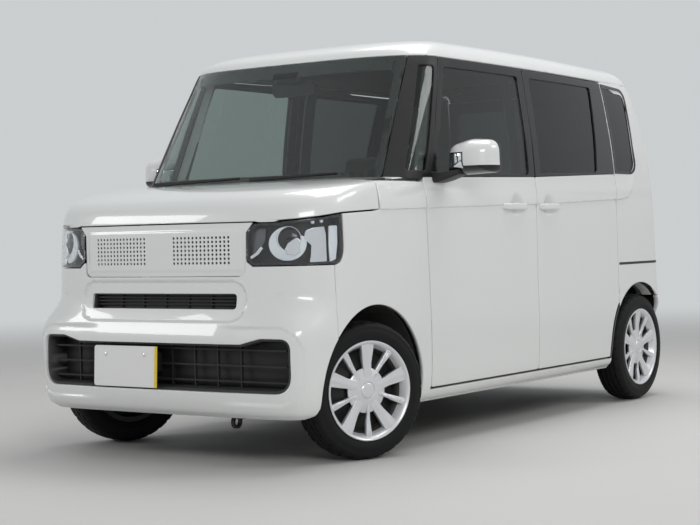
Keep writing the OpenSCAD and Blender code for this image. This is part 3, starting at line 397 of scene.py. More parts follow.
def rounded(points, radius, steps=6):
    """A closed outline with its corners rounded. A point's own third number overrides the radius."""
    out, n = [], len(points)
    for i in range(n):
        p, a, b = (np.array(points[k % n][:2], float) for k in (i, i - 1, i + 1))
        r = points[i][2] if len(points[i]) > 2 else radius
        u, w = a - p, b - p
        lu, lw = max(np.linalg.norm(u), 1e-9), max(np.linalg.norm(w), 1e-9)
        u, w = u / lu, w / lw
        turn = acos(max(-1.0, min(1.0, float(u @ w))))
        cut = min(r / max(np.tan(turn / 2), 1e-6), 0.48 * lu, 0.48 * lw)
        if r <= 0 or turn > 3.0 or cut < 0.2:
            out.append(p)
            continue
        for k in range(steps + 1):
            t = k / steps
            out.append((1 - t) ** 2 * (p + u * cut) + 2 * t * (1 - t) * p + t * t * (p + w * cut))
    return np.array(out)


def closed(loop, step, inward):
    """An even, dense loop, counter-clockwise for an outline and clockwise for a hole."""
    loop = np.asarray(loop, float)
    keep = np.linalg.norm(loop - np.roll(loop, 1, axis=0), axis=1) > 0.05
    loop = loop[keep]
    area = np.sum(loop[:, 0] * np.roll(loop[:, 1], -1) - np.roll(loop[:, 0], -1) * loop[:, 1])
    if (area > 0) != inward:
        loop = loop[::-1]
    out = []
    for p, q in zip(loop, np.roll(loop, -1, axis=0)):
        n = max(1, int(np.ceil(np.linalg.norm(q - p) / step)))
        out += [p + (q - p) * k / n for k in range(n)]
    return np.array(out)


def set_in(loop, distance):
    """The loop moved to its left, which is into the panel."""
    before, after = loop - np.roll(loop, 1, axis=0), np.roll(loop, -1, axis=0) - loop
    n1 = np.column_stack([-before[:, 1], before[:, 0]]) / np.linalg.norm(before, axis=1)[:, None]
    n2 = np.column_stack([-after[:, 1], after[:, 0]]) / np.linalg.norm(after, axis=1)[:, None]
    return loop + distance * (n1 + n2) / np.maximum(1 + np.sum(n1 * n2, axis=1), 0.5)[:, None]


def inside(points, loops):
    """Even-odd test of many points against closed loops."""
    odd = np.zeros(len(points), bool)
    px, py = points[:, 0], points[:, 1]
    for loop in loops:
        for (x0, y0), (x1, y1) in zip(loop, np.roll(loop, -1, axis=0)):
            if y0 != y1:
                odd ^= ((y0 > py) != (y1 > py)) & (px < (x1 - x0) * (py - y0) / (y1 - y0) + x0)
    return odd


def normals_of(form, uv, outward=None, e=0.4):
    du = form(uv[:, 0] + e, uv[:, 1]) - form(uv[:, 0] - e, uv[:, 1])
    dv = form(uv[:, 0], uv[:, 1] + e) - form(uv[:, 0], uv[:, 1] - e)
    n = np.cross(du, dv)
    n /= np.maximum(np.linalg.norm(n, axis=1), 1e-9)[:, None]
    p = form(uv[:, 0], uv[:, 1])
    if outward is not None:
        return n * np.sign(n @ np.array(outward, float))[:, None], p
    core = np.column_stack([np.clip(p[:, 0], -1250, 1080), np.zeros(len(p)), np.clip(p[:, 2], 300, 900)])
    return n * np.sign(np.sum(n * (p - core), axis=1))[:, None], p


def make_object(name, points, faces, materials, face_slots=None, normals=None):
    mesh = bpy.data.meshes.new(name)
    mesh.from_pydata((np.asarray(points) * 0.001).tolist(), [], faces)
    for material in materials:
        mesh.materials.append(material)
    if face_slots is not None:
        mesh.polygons.foreach_set("material_index", face_slots)
    mesh.polygons.foreach_set("use_smooth", [True] * len(mesh.polygons))
    if normals is not None:
        mesh.normals_split_custom_set_from_vertices(normals)
    made = bpy.data.objects.new(name, mesh)
    scene.collection.objects.link(made)
    return made


def panel(name, outline, form, thick, materials, holes=(), roll=3.0, step=16.0, more=(), lift=0.0,
          outward=None):
    """A closed pressed panel: outer skin, rolled edge, flange and inner skin. Materials: outside, then inside."""
    loops = [closed(outline, step, True)] + [closed(hole, step, False) for hole in holes]
    rings = [set_in(loop, roll) for loop in loops]
    flat = np.vstack(rings)
    lo, hi = flat.min(axis=0), flat.max(axis=0)
    grid = np.stack(np.meshgrid(np.arange(lo[0], hi[0], step), np.arange(lo[1], hi[1], step)),
                    axis=-1).reshape(-1, 2)
    grid = np.vstack([*[np.asarray(m, float).reshape(-1, 2) for m in more], grid])
    _, first = np.unique(np.round(grid / 3.0), axis=0, return_index=True)
    grid = grid[np.sort(first)]
    grid = grid[inside(grid, rings)]
    far = np.ones(len(grid), bool)
    for start in range(0, len(grid), 2000):
        part = grid[start:start + 2000]
        gap = np.min(np.linalg.norm(part[:, None] - flat[None], axis=2), axis=1)
        far[start:start + 2000] = gap > min(step * 0.45, 5.0)
    uv = np.vstack([flat, grid[far]])
    edges, base = [], 0
    for ring in rings:
        n = len(ring)
        edges += [(base + i, base + (i + 1) % n) for i in range(n)]
        base += n
    verts, _, tris, _, _, _ = delaunay_2d_cdt([Vector(p) for p in uv], edges, [], 0, 1e-5)
    uv = np.array([tuple(p) for p in verts])
    tris = np.array([t for t in tris if len(t) == 3])
    tris = tris[inside(uv[tris].mean(axis=1), rings)]
    count = len(uv)
    n, p = normals_of(form, uv, outward)
    p = p + n * lift
    facing = np.cross(p[tris[:, 1]] - p[tris[:, 0]], p[tris[:, 2]] - p[tris[:, 0]])
    flip = np.sum(facing * n[tris[:, 0]]) < 0
    outer = tris[:, ::-1] if flip else tris
    points, shading = [p, p - n * thick], [n, np.zeros_like(n)]
    faces = outer.tolist() + (outer[:, ::-1] + count).tolist()
    slots = [0] * len(outer) + [len(materials) - 1] * len(outer)
    total, ring_start = 2 * count, 0
    turns = [(roll * (1 - sin(a)), roll * (1 - cos(a))) for a in (pi / 4, pi / 2)] + [(0.0, thick)]
    for loop, ring in zip(loops, rings):
        size = len(ring)
        rows = [np.arange(ring_start, ring_start + size)]
        for set_back, depth in turns:
            n_k, p_k = normals_of(form, set_in(loop, set_back), outward)
            points.append(p_k + n_k * (lift - depth))
            shading.append(np.zeros_like(n_k))
            rows.append(np.arange(total, total + size))
            total += size
        rows.append(np.arange(ring_start + count, ring_start + count + size))
        for k, (a, b) in enumerate(zip(rows, rows[1:])):
            quad = np.column_stack([a, b, np.roll(b, -1), np.roll(a, -1)])
            faces += (quad[:, ::-1] if flip else quad).tolist()
            slots += [0 if k < len(turns) else len(materials) - 1] * size
        ring_start += size
    return make_object(name, np.vstack(points), faces, materials, slots, np.vstack(shading))


def side_form(skin, side, shape=None):
    """Side view: (x, z) onto the left or right side, with a shape that stands out or dips in."""
    def form(x, z):
        y = skin.side(x, z)
        return np.column_stack([x, side * (y + (shape(x, z) if shape else 0)), z])
    return form


def joined(name, parts):
    """Several objects as one piece."""
    with bpy.context.temp_override(active_object=parts[0], selected_editable_objects=parts, object=parts[0]):
        bpy.ops.object.join()
    parts[0].name = parts[0].data.name = name
    return parts[0]


def place(piece, body, slot, *replaced):
    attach(piece, body)
    if replaced:
        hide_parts(*replaced)
    return piece


GAP = 3.0  # half a shut line, as it shows
SIDES = (("left", 1), ("right", -1))

# %% [markdown]
# The sides carry a crease that starts at the hood's shut line, runs back through the door handles and
# turns up to the rear quarter window. Above it the metal stands out a few millimetres and eases back to
# the window line. The handles sit over round cups. Both are written as a height over the form, so the
# doors and the quarter press the same line.

# %% Crease and handle cups
AXLE_F, AXLE_R, AXLE_Z, ARCH_R = 1186.5, -1333.5, 278.5, 342.0
DOOR_X, SPLIT_X, SLIDE_X = 794.5, -185.5, -1071.5
SILL_Z, GUTTER_Z = 245.0, 1672.0
CREASE = np.array([(-1420, 1330), (-1352, 1236), (-1310, 1160), (-1262, 1102), (-1210, 1071), (-1130, 1059),
                   (-307, 1031), (46, 1025), (1147, 1001), (1400, 992)])
HANDLES = (14.5, -305.5)
HANDLE_Z, CUP_R, CUP_DEPTH = 1024.0, 62.0, 17.0


def ease(t):
    t = np.clip(t, 0, 1)
    return t * t * (3 - 2 * t)


def side_shape(x, z):
    above = z - np.interp(x, CREASE[:, 0], CREASE[:, 1])
    crease = (6.0 * ease(above / 5.5 + 0.5) * (1 - ease((above - 12) / 95.0)) * ease((x + 1400) / 60)
              * ease((1190 - x) / 40))
    dip = 0.0
    for hx in HANDLES:
        r = np.hypot((x - hx) / 1.25, z - HANDLE_Z - 4) / CUP_R
        dip = dip - CUP_DEPTH * (1 - ease(r)) ** 1.2
    return crease + dip


def crease_points(x0, x1):
    """Extra grid points, close together across the crease."""
    x = np.arange(x0, x1, 9.0)
    zc = np.interp(x, CREASE[:, 0], CREASE[:, 1])
    return np.vstack([np.column_stack([x, zc + d]) for d in (-7, -4, -2, 0, 2, 4, 7, 12)])


def cup_points():
    rings = [(hx + 1.25 * r * cos(a), HANDLE_Z + 4 + r * sin(a)) for hx in HANDLES
             for r in np.arange(4, CUP_R + 6, 5.0) for a in np.linspace(0, 2 * pi, 30, endpoint=False)]
    return np.array(rings)


def belt(x):
    return np.interp(x, [-1340, -1000, -190, 802, 1000], [1196, 1187, 1158, 1140, 1134])

# %% [markdown]
# The front doors are one pressing below the window line and a black frame above it, as on most tall cars
# with a blacked-out window band. The glass sits a little behind the frame. Door, frame and glass ride on
# the door's body, so they swing together.

# %% Front doors
DOOR_T, FRAME_T = 60.0, 34.0
GLASS_SET, GLASS_T = 9.0, 4.5
FRONT_WINDOW = [(686, 1166), (514, 1630), (-128, 1630), (-128, 1166)]


def door_front_edge(z):
    return np.interp(z, [SILL_Z, 560, 1090, 1140], [DOOR_X - 22, DOOR_X - 18, DOOR_X, DOOR_X])


def grown(points, distance):
    """An outline made larger all round, as a list of points."""
    loop = closed([p[:2] for p in points], 1e9, True)
    return set_in(loop, -distance)


for name, side in SIDES:
    form = side_form(whole, side, side_shape)
    plain_form = side_form(whole, side)
    body = f"door_{name}"
    front_z = np.linspace(SILL_Z + 6, 1118, 14)
    xs = np.linspace(DOOR_X - GAP, SPLIT_X + GAP, 30)
    outline = ([(SPLIT_X + GAP, SILL_Z + 6), (door_front_edge(SILL_Z) - GAP, SILL_Z + 6)]
               + [(float(door_front_edge(z)) - GAP, float(z)) for z in front_z[1:]]
               + [(float(x), float(belt(x)) - 1) for x in xs])
    skin = panel(f"door_skin_{name}", rounded(outline, 14), form, DOOR_T, [pearl, cabin_grey],
                 more=[crease_points(SPLIT_X, DOOR_X), cup_points()])
    upper = ([(float(x), float(belt(x)) + 1) for x in xs[::-1]]
             + [(DOOR_X - GAP, 1152), (DOOR_X - 72 - GAP, 1163), (547 - GAP, GUTTER_Z - GAP),
                (SPLIT_X + GAP, GUTTER_Z - GAP)])
    upper_frame = panel(f"door_frame_{name}", rounded(upper, 10), plain_form, FRAME_T, [gloss_black, cabin_grey],
                        holes=[rounded(FRONT_WINDOW, 20)], roll=2.5, lift=-1.0)
    pane = panel(f"door_pane_{name}", rounded(grown(FRONT_WINDOW, 9), 20), plain_form, GLASS_T, [side_glass],
                 roll=0.8, step=40, lift=-GLASS_SET)
    place(skin, body, "body_paint", f"door_{name}")
    place(upper_frame, body, "black_plastic")
    place(pane, body, "window_glass", f"door_glass_{name}")
print("front doors made")

# %% [markdown]
# The sliding doors are made the same way. Their lower rear corner follows the wheel arch. They have no
# joint here, because a sliding door first moves out and then back, which one joint can't do.

# %% Sliding doors
SLIDE_WINDOW = [(-243, 1176), (-243, 1630), (-930, 1630), (-862, 1192)]
DOOR_ARCH_R = ARCH_R + 22


for name, side in SIDES:
    form = side_form(whole, side, side_shape)
    plain_form = side_form(whole, side)
    reach = SLIDE_X + GAP - AXLE_R
    top_angle = np.degrees(acos(reach / DOOR_ARCH_R))
    low_angle = np.degrees(asin((SILL_Z + 6 - AXLE_Z) / DOOR_ARCH_R))
    xs = np.linspace(SLIDE_X + GAP, SPLIT_X - GAP, 26)
    outline = (arc(AXLE_R, AXLE_Z, DOOR_ARCH_R, top_angle, low_angle)
               + [(SPLIT_X - GAP, SILL_Z + 6)] + [(float(x), float(belt(x)) - 1) for x in xs[::-1]])
    skin = panel(f"sliding_skin_{name}", rounded(outline, 14), form, DOOR_T, [pearl, cabin_grey],
                 more=[crease_points(SLIDE_X, SPLIT_X), cup_points()])
    upper = ([(float(x), float(belt(x)) + 1) for x in xs]
             + [(SPLIT_X - GAP, GUTTER_Z - GAP), (SLIDE_X + GAP, GUTTER_Z - 4 - GAP)])
    upper_frame = panel(f"sliding_frame_{name}", rounded(upper, 8), plain_form, FRAME_T, [gloss_black, cabin_grey],
                        holes=[rounded(SLIDE_WINDOW, 20)], roll=2.5, lift=-1.0)
    pane = panel(f"sliding_pane_{name}", rounded(grown(SLIDE_WINDOW, 9), 20), plain_form, GLASS_T, [privacy_glass],
                 roll=0.8, step=40, lift=-GLASS_SET)
    place(skin, "body", "body_paint", f"sliding_door_{name}")
    place(upper_frame, "body", "black_plastic")
    place(pane, "body", "window_glass")
print("sliding doors made")

# %% [markdown]
# The fender is a single skin between door, hood, lamp and bumper, with the wheel arch cut from it. The
# quarter panel is drawn on the unrolled rear corner, because it turns round it up to the tailgate.

# %% Fenders, sills and quarters
FENDER_T, ARCH_LIP = 16.0, 4.0
BUMPER_X, LAMP_REAR_X, LAMP_LOW_Z, HOOD_REAR_X = 1447.5, 1395.5, 788.0, 1145.5
SEAM = 1.2
QUARTER_WINDOW = [(-1100, 1202), (-1100, 1644), (-1374, 1634, 56), (-1328, 1203, 84)]
TAIL_Y, TAIL_TOP_Y, TAIL_LOW_Z = 619.5, 532.5, 545.0


def tail_edge(z):
    return np.interp(z, [TAIL_LOW_Z, 1150, 1798], [TAIL_Y, TAIL_Y, TAIL_TOP_Y])


for name, side in SIDES:
    form = side_form(lower, side, side_shape)
    edge_z = np.linspace(200, 1122, 16)
    outline = ([(float(door_front_edge(z)) + GAP, float(z)) for z in edge_z[::-1]]
               + arc(AXLE_F, AXLE_Z, ARCH_R, 193.5, 40.7, 60)
               + [(BUMPER_X - SEAM, LAMP_LOW_Z - SEAM), (1438, 788), (1417, 797), (1404.5, 814), (1397, 836),
                  (LAMP_REAR_X - SEAM, 862), (LAMP_REAR_X - SEAM, 990 - GAP), (HOOD_REAR_X - GAP, 1002 - GAP),
                  (HOOD_REAR_X - GAP, 1124)])
    skin = panel(f"fender_skin_{name}", rounded(outline, 3), form, FENDER_T, [pearl, moulded_black],
                 more=[crease_points(DOOR_X, 1400)], roll=ARCH_LIP)
    place(skin, "body", "body_paint", f"fender_{name}")

    sill_form = side_form(whole, side)
    sill = [(848, 199), (846, 241), (-994, 241), (-990, 199)]
    strip = panel(f"sill_skin_{name}", rounded(sill, 5), sill_form, 20, [pearl, moulded_black], lift=1.0)
    place(strip, "body", "body_paint")

    def quarter_form(s, z, side=side):
        p = tail_wrap.point(s, tail_wrap.v(z))
        out = side_shape(p[:, 0], p[:, 2]) * (np.abs(s) > tail_wrap.length)
        p[:, 1] += np.sign(s) * out
        return p * np.array([1, side, 1])

    on_x = lambda x, z: (tail_wrap.by_x(x, z)[0], z)
    on_y = lambda y, z: (tail_wrap.by_y(y, z)[0], z)
    reach = SLIDE_X - GAP - AXLE_R
    arch_low = np.degrees(asin((TAIL_LOW_Z + 2 - AXLE_Z) / ARCH_R))
    outline = ([on_x(SLIDE_X - GAP, z) for z in np.linspace(1670, 510, 24)]
               + [on_x(x, z) for x, z in arc(AXLE_R, AXLE_Z, ARCH_R, np.degrees(acos(reach / ARCH_R)),
                                             180 - arch_low, 50)]
               + [on_x(x, TAIL_LOW_Z + 2) for x in (-1580, -1610, -1640)]
               + [on_y(y, TAIL_LOW_Z + 2) for y in (700, 670, TAIL_Y + GAP)]
               + [on_y(TAIL_Y + GAP, z) for z in (700, 816)]
               + [on_y(668, 816), on_x(-1606, 816), on_x(-1606, 1144), on_y(660, 1144)]
               + [on_y(float(tail_edge(z)) + GAP, z) for z in np.linspace(1144, 1670, 14)]
               + [on_y(float(tail_edge(1670)) + 40, 1671), on_x(-1500, 1671), on_x(-1300, 1671)])
    window = [on_x(x, z) for x, z in closed(rounded(QUARTER_WINDOW, 8, 10), 14, True)]
    skin = panel(f"quarter_skin_{name}", rounded(outline, 4), quarter_form, 18, [pearl, cabin_grey], holes=[window],
                 roll=ARCH_LIP, lift=1.2,
                 more=[np.array([on_x(x, z) for x, z in crease_points(-1400, SLIDE_X)])])
    pane = panel(f"quarter_pane_{name}", [on_x(x, z) for x, z in rounded(grown(QUARTER_WINDOW, 8), 20)],
                 quarter_form, GLASS_T, [privacy_glass], roll=0.8, step=30, lift=-4.0)
    dark = [(SLIDE_X - GAP - 1, 1190), (SLIDE_X - GAP - 1, 1660), (-1388, 1648, 64), (-1340, 1191, 94)]
    band = panel(f"quarter_band_{name}", [on_x(x, z) for x, z in closed(rounded(dark, 4, 10), 14, True)],
                 quarter_form, 3, [gloss_black],
                 holes=[[on_x(x, z) for x, z in closed(rounded(QUARTER_WINDOW, 8, 10), 14, True)]], roll=0.8,
                 lift=2.4)
    place(skin, "body", "body_paint")
    place(pane, "body", "window_glass")
    place(band, "body", "black_plastic")
print("fenders, sills and quarters made")

# %% [markdown]
# The roof is drawn from above. Its edge falls steeply to the gutter, so extra points follow the edge in
# close rows there. It stops short of the tailgate, which takes the last piece of the roof with it.

# %% Roof
ROOF_EDGE_Z, TAIL_HINGE_X = 1674.0, -1367.5


def roof_form(x, y):
    return np.column_stack([x, y, whole.top(x, y, ROOF_EDGE_Z - 8)])


def plan_ring(z, count=64):
    """The plan section at one height, left half from front to rear."""
    s_front = np.linspace(0, screen_wrap.length, count)
    s_rear = np.linspace(tail_wrap.length, 0, count)
    v_f, v_r = screen_wrap.v(np.full(count, z)), tail_wrap.v(np.full(count, z))
    front, rear = screen_wrap.point(s_front, v_f)[:, :2], tail_wrap.point(s_rear, v_r)[:, :2]
    xs = np.linspace(front[-1, 0], rear[0, 0], 60)[1:-1]
    side = np.column_stack([xs, whole.side(xs, np.full(58, z))])
    return np.vstack([front, side, rear])


def mirrored(half):
    return np.vstack([half, (half * [1, -1])[::-1]])


ring = mirrored(plan_ring(ROOF_EDGE_Z))
notch_y = float(tail_edge(1760)) + GAP
keep = ~((ring[:, 0] < TAIL_HINGE_X) & (np.abs(ring[:, 1]) < notch_y))
first = int(np.argmin(keep))
last = len(keep) - int(np.argmin(keep[::-1]))
roof_outline = np.vstack([ring[:first], [(TAIL_HINGE_X + GAP, notch_y), (TAIL_HINGE_X + GAP, -notch_y)],
                          ring[last:]])
edge_rows = [mirrored(plan_ring(z)) for z in (1676, 1680, 1686, 1693, 1701, 1710, 1720, 1731, 1742, 1750, 1757)]
roof = panel("roof_skin", rounded(roof_outline, 2), roof_form, 34, [pearl, cabin_light], step=26, roll=2.0,
             more=edge_rows)
place(roof, "body", "body_paint", "roof_panel")
print("roof made")

# %% [markdown]
# The hood is a clamshell: it wraps over the front corners and down to the lamps, so it is drawn on the
# unrolled nose. Its lower edge follows the tops of the lamps, and its rear edge is one straight line
# across the car.

# %% Hood
HOOD_LINE = [(1145, 1002), (1395.5, 990), (1619.5, 960), (1800, 960)]


def hood_line(x):
    return float(np.interp(x, [p[0] for p in HOOD_LINE], [p[1] for p in HOOD_LINE]))


def at_x(x, z_low, z_high):
    """Points of the unrolled nose along a line across the car at one x, from the side up to the middle."""
    out = []
    for z in np.concatenate([np.linspace(z_low, z_high - 12, 30), np.linspace(z_high - 11, z_high, 26)]):
        out.append(nose_wrap.by_x(x, z))
    return out


def nose_height(x):
    """The height at which the nose's middle reaches x."""
    heights = np.linspace(960, 1143, 2000)
    nose = lower.ends(heights)[0]
    return float(np.interp(-x, -nose, heights))


hood_x = HOOD_REAR_X + GAP
rear_half = at_x(hood_x, hood_line(hood_x) + GAP, nose_height(hood_x) - 0.02)
front_half = ([nose_wrap.by_y(y, hood_line(1640) + GAP) for y in np.linspace(0, 560, 30)]
              + [nose_wrap.by_x(x, hood_line(x) + GAP) for x in np.linspace(1622, hood_x + 2, 26)])
half = np.array(front_half + rear_half)
hood_outline = np.vstack([half, (half * [-1, 1])[::-1]])
hood = panel("hood_skin", hood_outline, nose_wrap.point, 20, [pearl, satin_black], step=20, roll=3.5)
place(hood, "hood", "body_paint", "hood")
print("hood made")

# %% [markdown]
# The front bumper carries most of the face. Its form is the nose with three pressings worked in: a shallow
# step round the upper slot, a raised lip round the wide lower mouth, and a soft hollow between them. They
# are heights along the front, so one function holds them all.

# %% Front bumper
MOUTH = [(-656, 298, 78), (656, 298, 78), (652, 510, 46), (520, 511, 40), (428, 487, 44), (-428, 487, 44),
         (-520, 511, 40), (-652, 510, 46)]
SLOT = [(-385, 622, 16), (385, 622, 16), (385, 682, 16), (-385, 682, 16)]
GRILLE_Y, GRILLE_LOW_Z = 428.0, 750.0


def box_distance(y, z, half_y, z0, z1, r):
    """Distance outside a rounded box seen from the front."""
    dy, dz = np.abs(y) - (half_y - r), np.abs(z - (z0 + z1) / 2) - ((z1 - z0) / 2 - r)
    return np.hypot(np.maximum(dy, 0), np.maximum(dz, 0)) + np.minimum(np.maximum(dy, dz), 0) - r


def bumper_shape(y, z):
    slot = box_distance(y, z, 385, 622, 682, 16)
    step = -9.0 * (1 - ease((slot - 44) / 9.0))
    lip = box_distance(y, z, 656, 298, 511, 60)
    collar = -7.0 * (1 - ease((lip - 34) / 12.0)) * ease((np.abs(y) - 300) / 140)
    return np.minimum(step, collar)


# %% [markdown]
# Low down the bumper juts out as a jaw with squarer corners than the nose above it. The jaw has a plan curve of
# its own, given as x and y and smoothed by cutting its corners four times. It fades out above the mouth.

# %% Jaw of the bumper
JAW_CURVE = np.array([(1697.5, 0), (1697, 300), (1694, 480), (1687, 580), (1674, 645), (1650, 686), (1610, 708),
                      (1560, 719), (1505, 726), (1447.5, 730.6)])
for _ in range(4):
    cuts = np.stack([0.75 * JAW_CURVE[:-1] + 0.25 * JAW_CURVE[1:], 0.25 * JAW_CURVE[:-1] + 0.75 * JAW_CURVE[1:]],
                    axis=1)
    JAW_CURVE = np.vstack([JAW_CURVE[:1], cuts.reshape(-1, 2), JAW_CURVE[-1:]])
jaw_run = np.concatenate([[0], np.cumsum(np.linalg.norm(np.diff(JAW_CURVE, axis=0), axis=1))])
jaw_s = np.linspace(0, nose_wrap.by_x(BUMPER_X, 400)[0], 600)
plain_curve = nose_wrap.point(jaw_s, nose_wrap.v(np.full(600, 400.0)))[:, :2]
jaw_shift = np.column_stack([np.interp(jaw_s / jaw_s[-1] * jaw_run[-1], jaw_run, JAW_CURVE[:, k])
                             for k in (0, 1)]) - plain_curve


def jaw_share(z):
    return 1 - ease((z - 535) / 140)


def jaw_point(s, v):
    p = nose_wrap.point(s, v)
    share = jaw_share(p[:, 2])
    p[:, 0] += share * np.interp(np.abs(s), jaw_s, jaw_shift[:, 0])
    p[:, 1] += share * np.sign(s) * np.interp(np.abs(s), jaw_s, jaw_shift[:, 1])
    return p


def bumper_form(s, v):
    p = jaw_point(s, v)
    p[:, 0] += bumper_shape(p[:, 1], p[:, 2]) * (p[:, 0] > 1500)
    return p


def on_y(y, z):
    """The unrolled place of a point of the bumper that is seen from the front at y and z."""
    v = nose_wrap.v(np.full(len(jaw_s), float(z)))
    across = jaw_point(jaw_s, v)[:, 1]
    return float(np.sign(y) * np.interp(abs(y), across, jaw_s)), float(v[0])


# %% [markdown]
# The bumper's outline goes once round: along the lower edge, up the wheel arch, along the fender and the lamp,
# and round the perforated panel's lower corner. Close rows of points follow the rims of both openings.

# %% Bumper skin
on_x, bumper_at = nose_wrap.by_x, on_y
half = ([on_y(y, 194) for y in np.linspace(0, 640, 20)] + [on_y(654, 195.5), on_x(1535, 200), on_x(1527, 208)]
        + [on_x(x, z) for x, z in arc(AXLE_F, AXLE_Z, ARCH_R, -7, 40.2, 30)]
        + [on_x(BUMPER_X + SEAM, z) for z in (520, 600, 700, LAMP_LOW_Z - SEAM)]
        + [on_x(x, LAMP_LOW_Z - SEAM) for x in (1480, 1520, 1560, 1590)]
        + [on_y(y, LAMP_LOW_Z - SEAM) for y in (600, 540, 460)]
        + [on_y(434, LAMP_LOW_Z + 18), on_y(429.5, LAMP_LOW_Z + 20), on_y(429.5, 770), on_y(420, 755),
           on_y(400, GRILLE_LOW_Z - SEAM)]
        + [on_y(y, GRILLE_LOW_Z - SEAM) for y in (300, 200, 100, 0)])
half = np.array(half)
outline = np.vstack([half, (half * [-1, 1])[::-1]])
holes = [[on_y(y, z) for y, z in closed(rounded(shape, 10, 14), 9, True)] for shape in (MOUTH, SLOT)]
lip_rows = [[on_y(y, z) for y, z in closed(rounded(grown(np.array(shape)[:, :2], d), 40), 11, True)]
            for shape, d in ((MOUTH, 8), (MOUTH, 20), (MOUTH, 30), (MOUTH, 36), (MOUTH, 42), (SLOT, 24), (SLOT, 42),
                             (SLOT, 47), (SLOT, 52))]
bumper = panel("front_bumper_skin", outline, bumper_form, 22, [pearl, moulded_black], holes=holes, step=13,
               more=lip_rows, outward=(1, 0, 0))
place(bumper, "body", "body_paint", "front_bumper")
print("front bumper made")

# %% [markdown]
# The panel between the lamps is bowed a little and perforated on both sides of a bare middle. The holes
# are real, because a painted dot looks wrong as soon as the view changes. A dark box lies behind them.

# %% Perforated panel
HOOD_EDGE_Z = 960.0
HOLE_R, HOLE_STEP, HOLE_COLUMNS, HOLE_ROWS, HOLE_FIELD_Y = 5.2, 19.2, 15, 7, 79.0
GRILLE_BOW_R, GRILLE_X = 3800.0, FRONT_X - 44


def grille_form(y, z):
    edge = box_distance(y, z, GRILLE_Y, GRILLE_LOW_Z, HOOD_EDGE_Z - 6, 34)
    bow = np.sqrt(GRILLE_BOW_R ** 2 - y ** 2) - GRILLE_BOW_R
    return np.column_stack([GRILLE_X + bow + 4 * ease((-edge - 14) / 16.0), y, z])


grille_outline = [(-GRILLE_Y + 1, GRILLE_LOW_Z, 36), (GRILLE_Y - 1, GRILLE_LOW_Z, 36), (GRILLE_Y - 1, 920, 3),
                  (GRILLE_Y + 31, HOOD_EDGE_Z - 2, 3), (-GRILLE_Y - 31, HOOD_EDGE_Z - 2, 3),
                  (-GRILLE_Y + 1, 920, 3)]
holes = [arc(side * (HOLE_FIELD_Y + i * HOLE_STEP), HOOD_EDGE_Z - 57 - j * HOLE_STEP * 0.87, HOLE_R, 0, 330, 11)
         for side in (-1, 1) for i in range(HOLE_COLUMNS) for j in range(HOLE_ROWS)]
grille = panel("grille_skin", rounded(grille_outline, 30), grille_form, 7, [pearl, satin_black], holes=holes,
               roll=1.2, step=10)
backing = panel("grille_backing", rounded([(-400, 772), (400, 772), (400, 935), (-400, 935)], 10),
                lambda y, z: grille_form(y, z) - [10, 0, 0], 3, [satin_black], roll=1, step=60)
place(joined("grille_skin", [grille, backing]), "body", "body_paint", "grille_panel")
print("perforations:", len(holes))

# %% [markdown]
# Some pieces are turned on a lathe or stretched over a row of sections. Two short helpers make such meshes:
# one spins a closed profile round an axis, the other joins a row of equal rings and closes the ends. A third
# copies a finished piece to another place and axis, so that four wheels need only one drawing.

# %% Lathe, loft and copies
def lathe(name, profile, materials, steps=96, wave=None, face_slot=None):
    """A closed profile of (radius, height) points round Z. The wave changes a radius by place and step."""
    profile = np.asarray(profile, float)
    n = len(profile)
    points = []
    for k in range(steps):
        a = 2 * pi * k / steps
        r = profile[:, 0] + (wave(profile, k) if wave else 0)
        points.append(np.column_stack([r * cos(a), r * sin(a), profile[:, 1]]))
    area = np.sum(profile[:, 0] * np.roll(profile[:, 1], -1) - np.roll(profile[:, 0], -1) * profile[:, 1])
    faces, slots = [], []
    for k in range(steps):
        for i in range(n):
            j, m = (i + 1) % n, (k + 1) % steps
            quad = [k * n + i, m * n + i, m * n + j, k * n + j]
            if max(profile[i, 0], profile[j, 0]) < 1e-6:
                continue
            faces.append(quad if area > 0 else quad[::-1])
            slots.append(face_slot(i) if face_slot else 0)
    made = make_object(name, np.vstack(points), faces, materials, slots)
    welded(made)
    made.data.set_sharp_from_angle(angle=radians(38))
    return made


def welded(made, distance=1e-6):
    work = bmesh.new()
    work.from_mesh(made.data)
    bmesh.ops.remove_doubles(work, verts=work.verts, dist=distance)
    bmesh.ops.dissolve_degenerate(work, edges=work.edges, dist=1e-7)
    bmesh.ops.recalc_face_normals(work, faces=work.faces)
    work.to_mesh(made.data)
    work.free()


def loft(name, rings, materials, sharp=40):
    """A closed skin over a row of rings with equal counts, capped at both ends."""
    n = len(rings[0])
    faces = []
    for k in range(len(rings) - 1):
        faces += [[k * n + i, k * n + (i + 1) % n, (k + 1) * n + (i + 1) % n, (k + 1) * n + i] for i in range(n)]
    faces.append(list(range(n))[::-1])
    faces.append([(len(rings) - 1) * n + i for i in range(n)])
    made = make_object(name, np.vstack(rings), faces, materials)
    work = bmesh.new()
    work.from_mesh(made.data)
    bmesh.ops.recalc_face_normals(work, faces=work.faces)
    work.to_mesh(made.data)
    work.free()
    made.data.set_sharp_from_angle(angle=radians(sharp))
    return made


def copied(name, source, centre, axis, spin=0.0, upright=(0, 0, 1)):
    """A copy of a piece drawn round Z, stood at a centre with Z along the axis."""
    z = Vector(axis).normalized()
    x = Vector(upright).cross(z).normalized()
    y = z.cross(x)
    turn = Matrix((x, y, z)).transposed().to_4x4() @ Matrix.Rotation(spin, 4, "Z")
    made = bpy.data.objects.new(name, source.data.copy())
    made.data.transform(Matrix.Translation(Vector(centre) * 0.001) @ turn)
    scene.collection.objects.link(made)
    return made


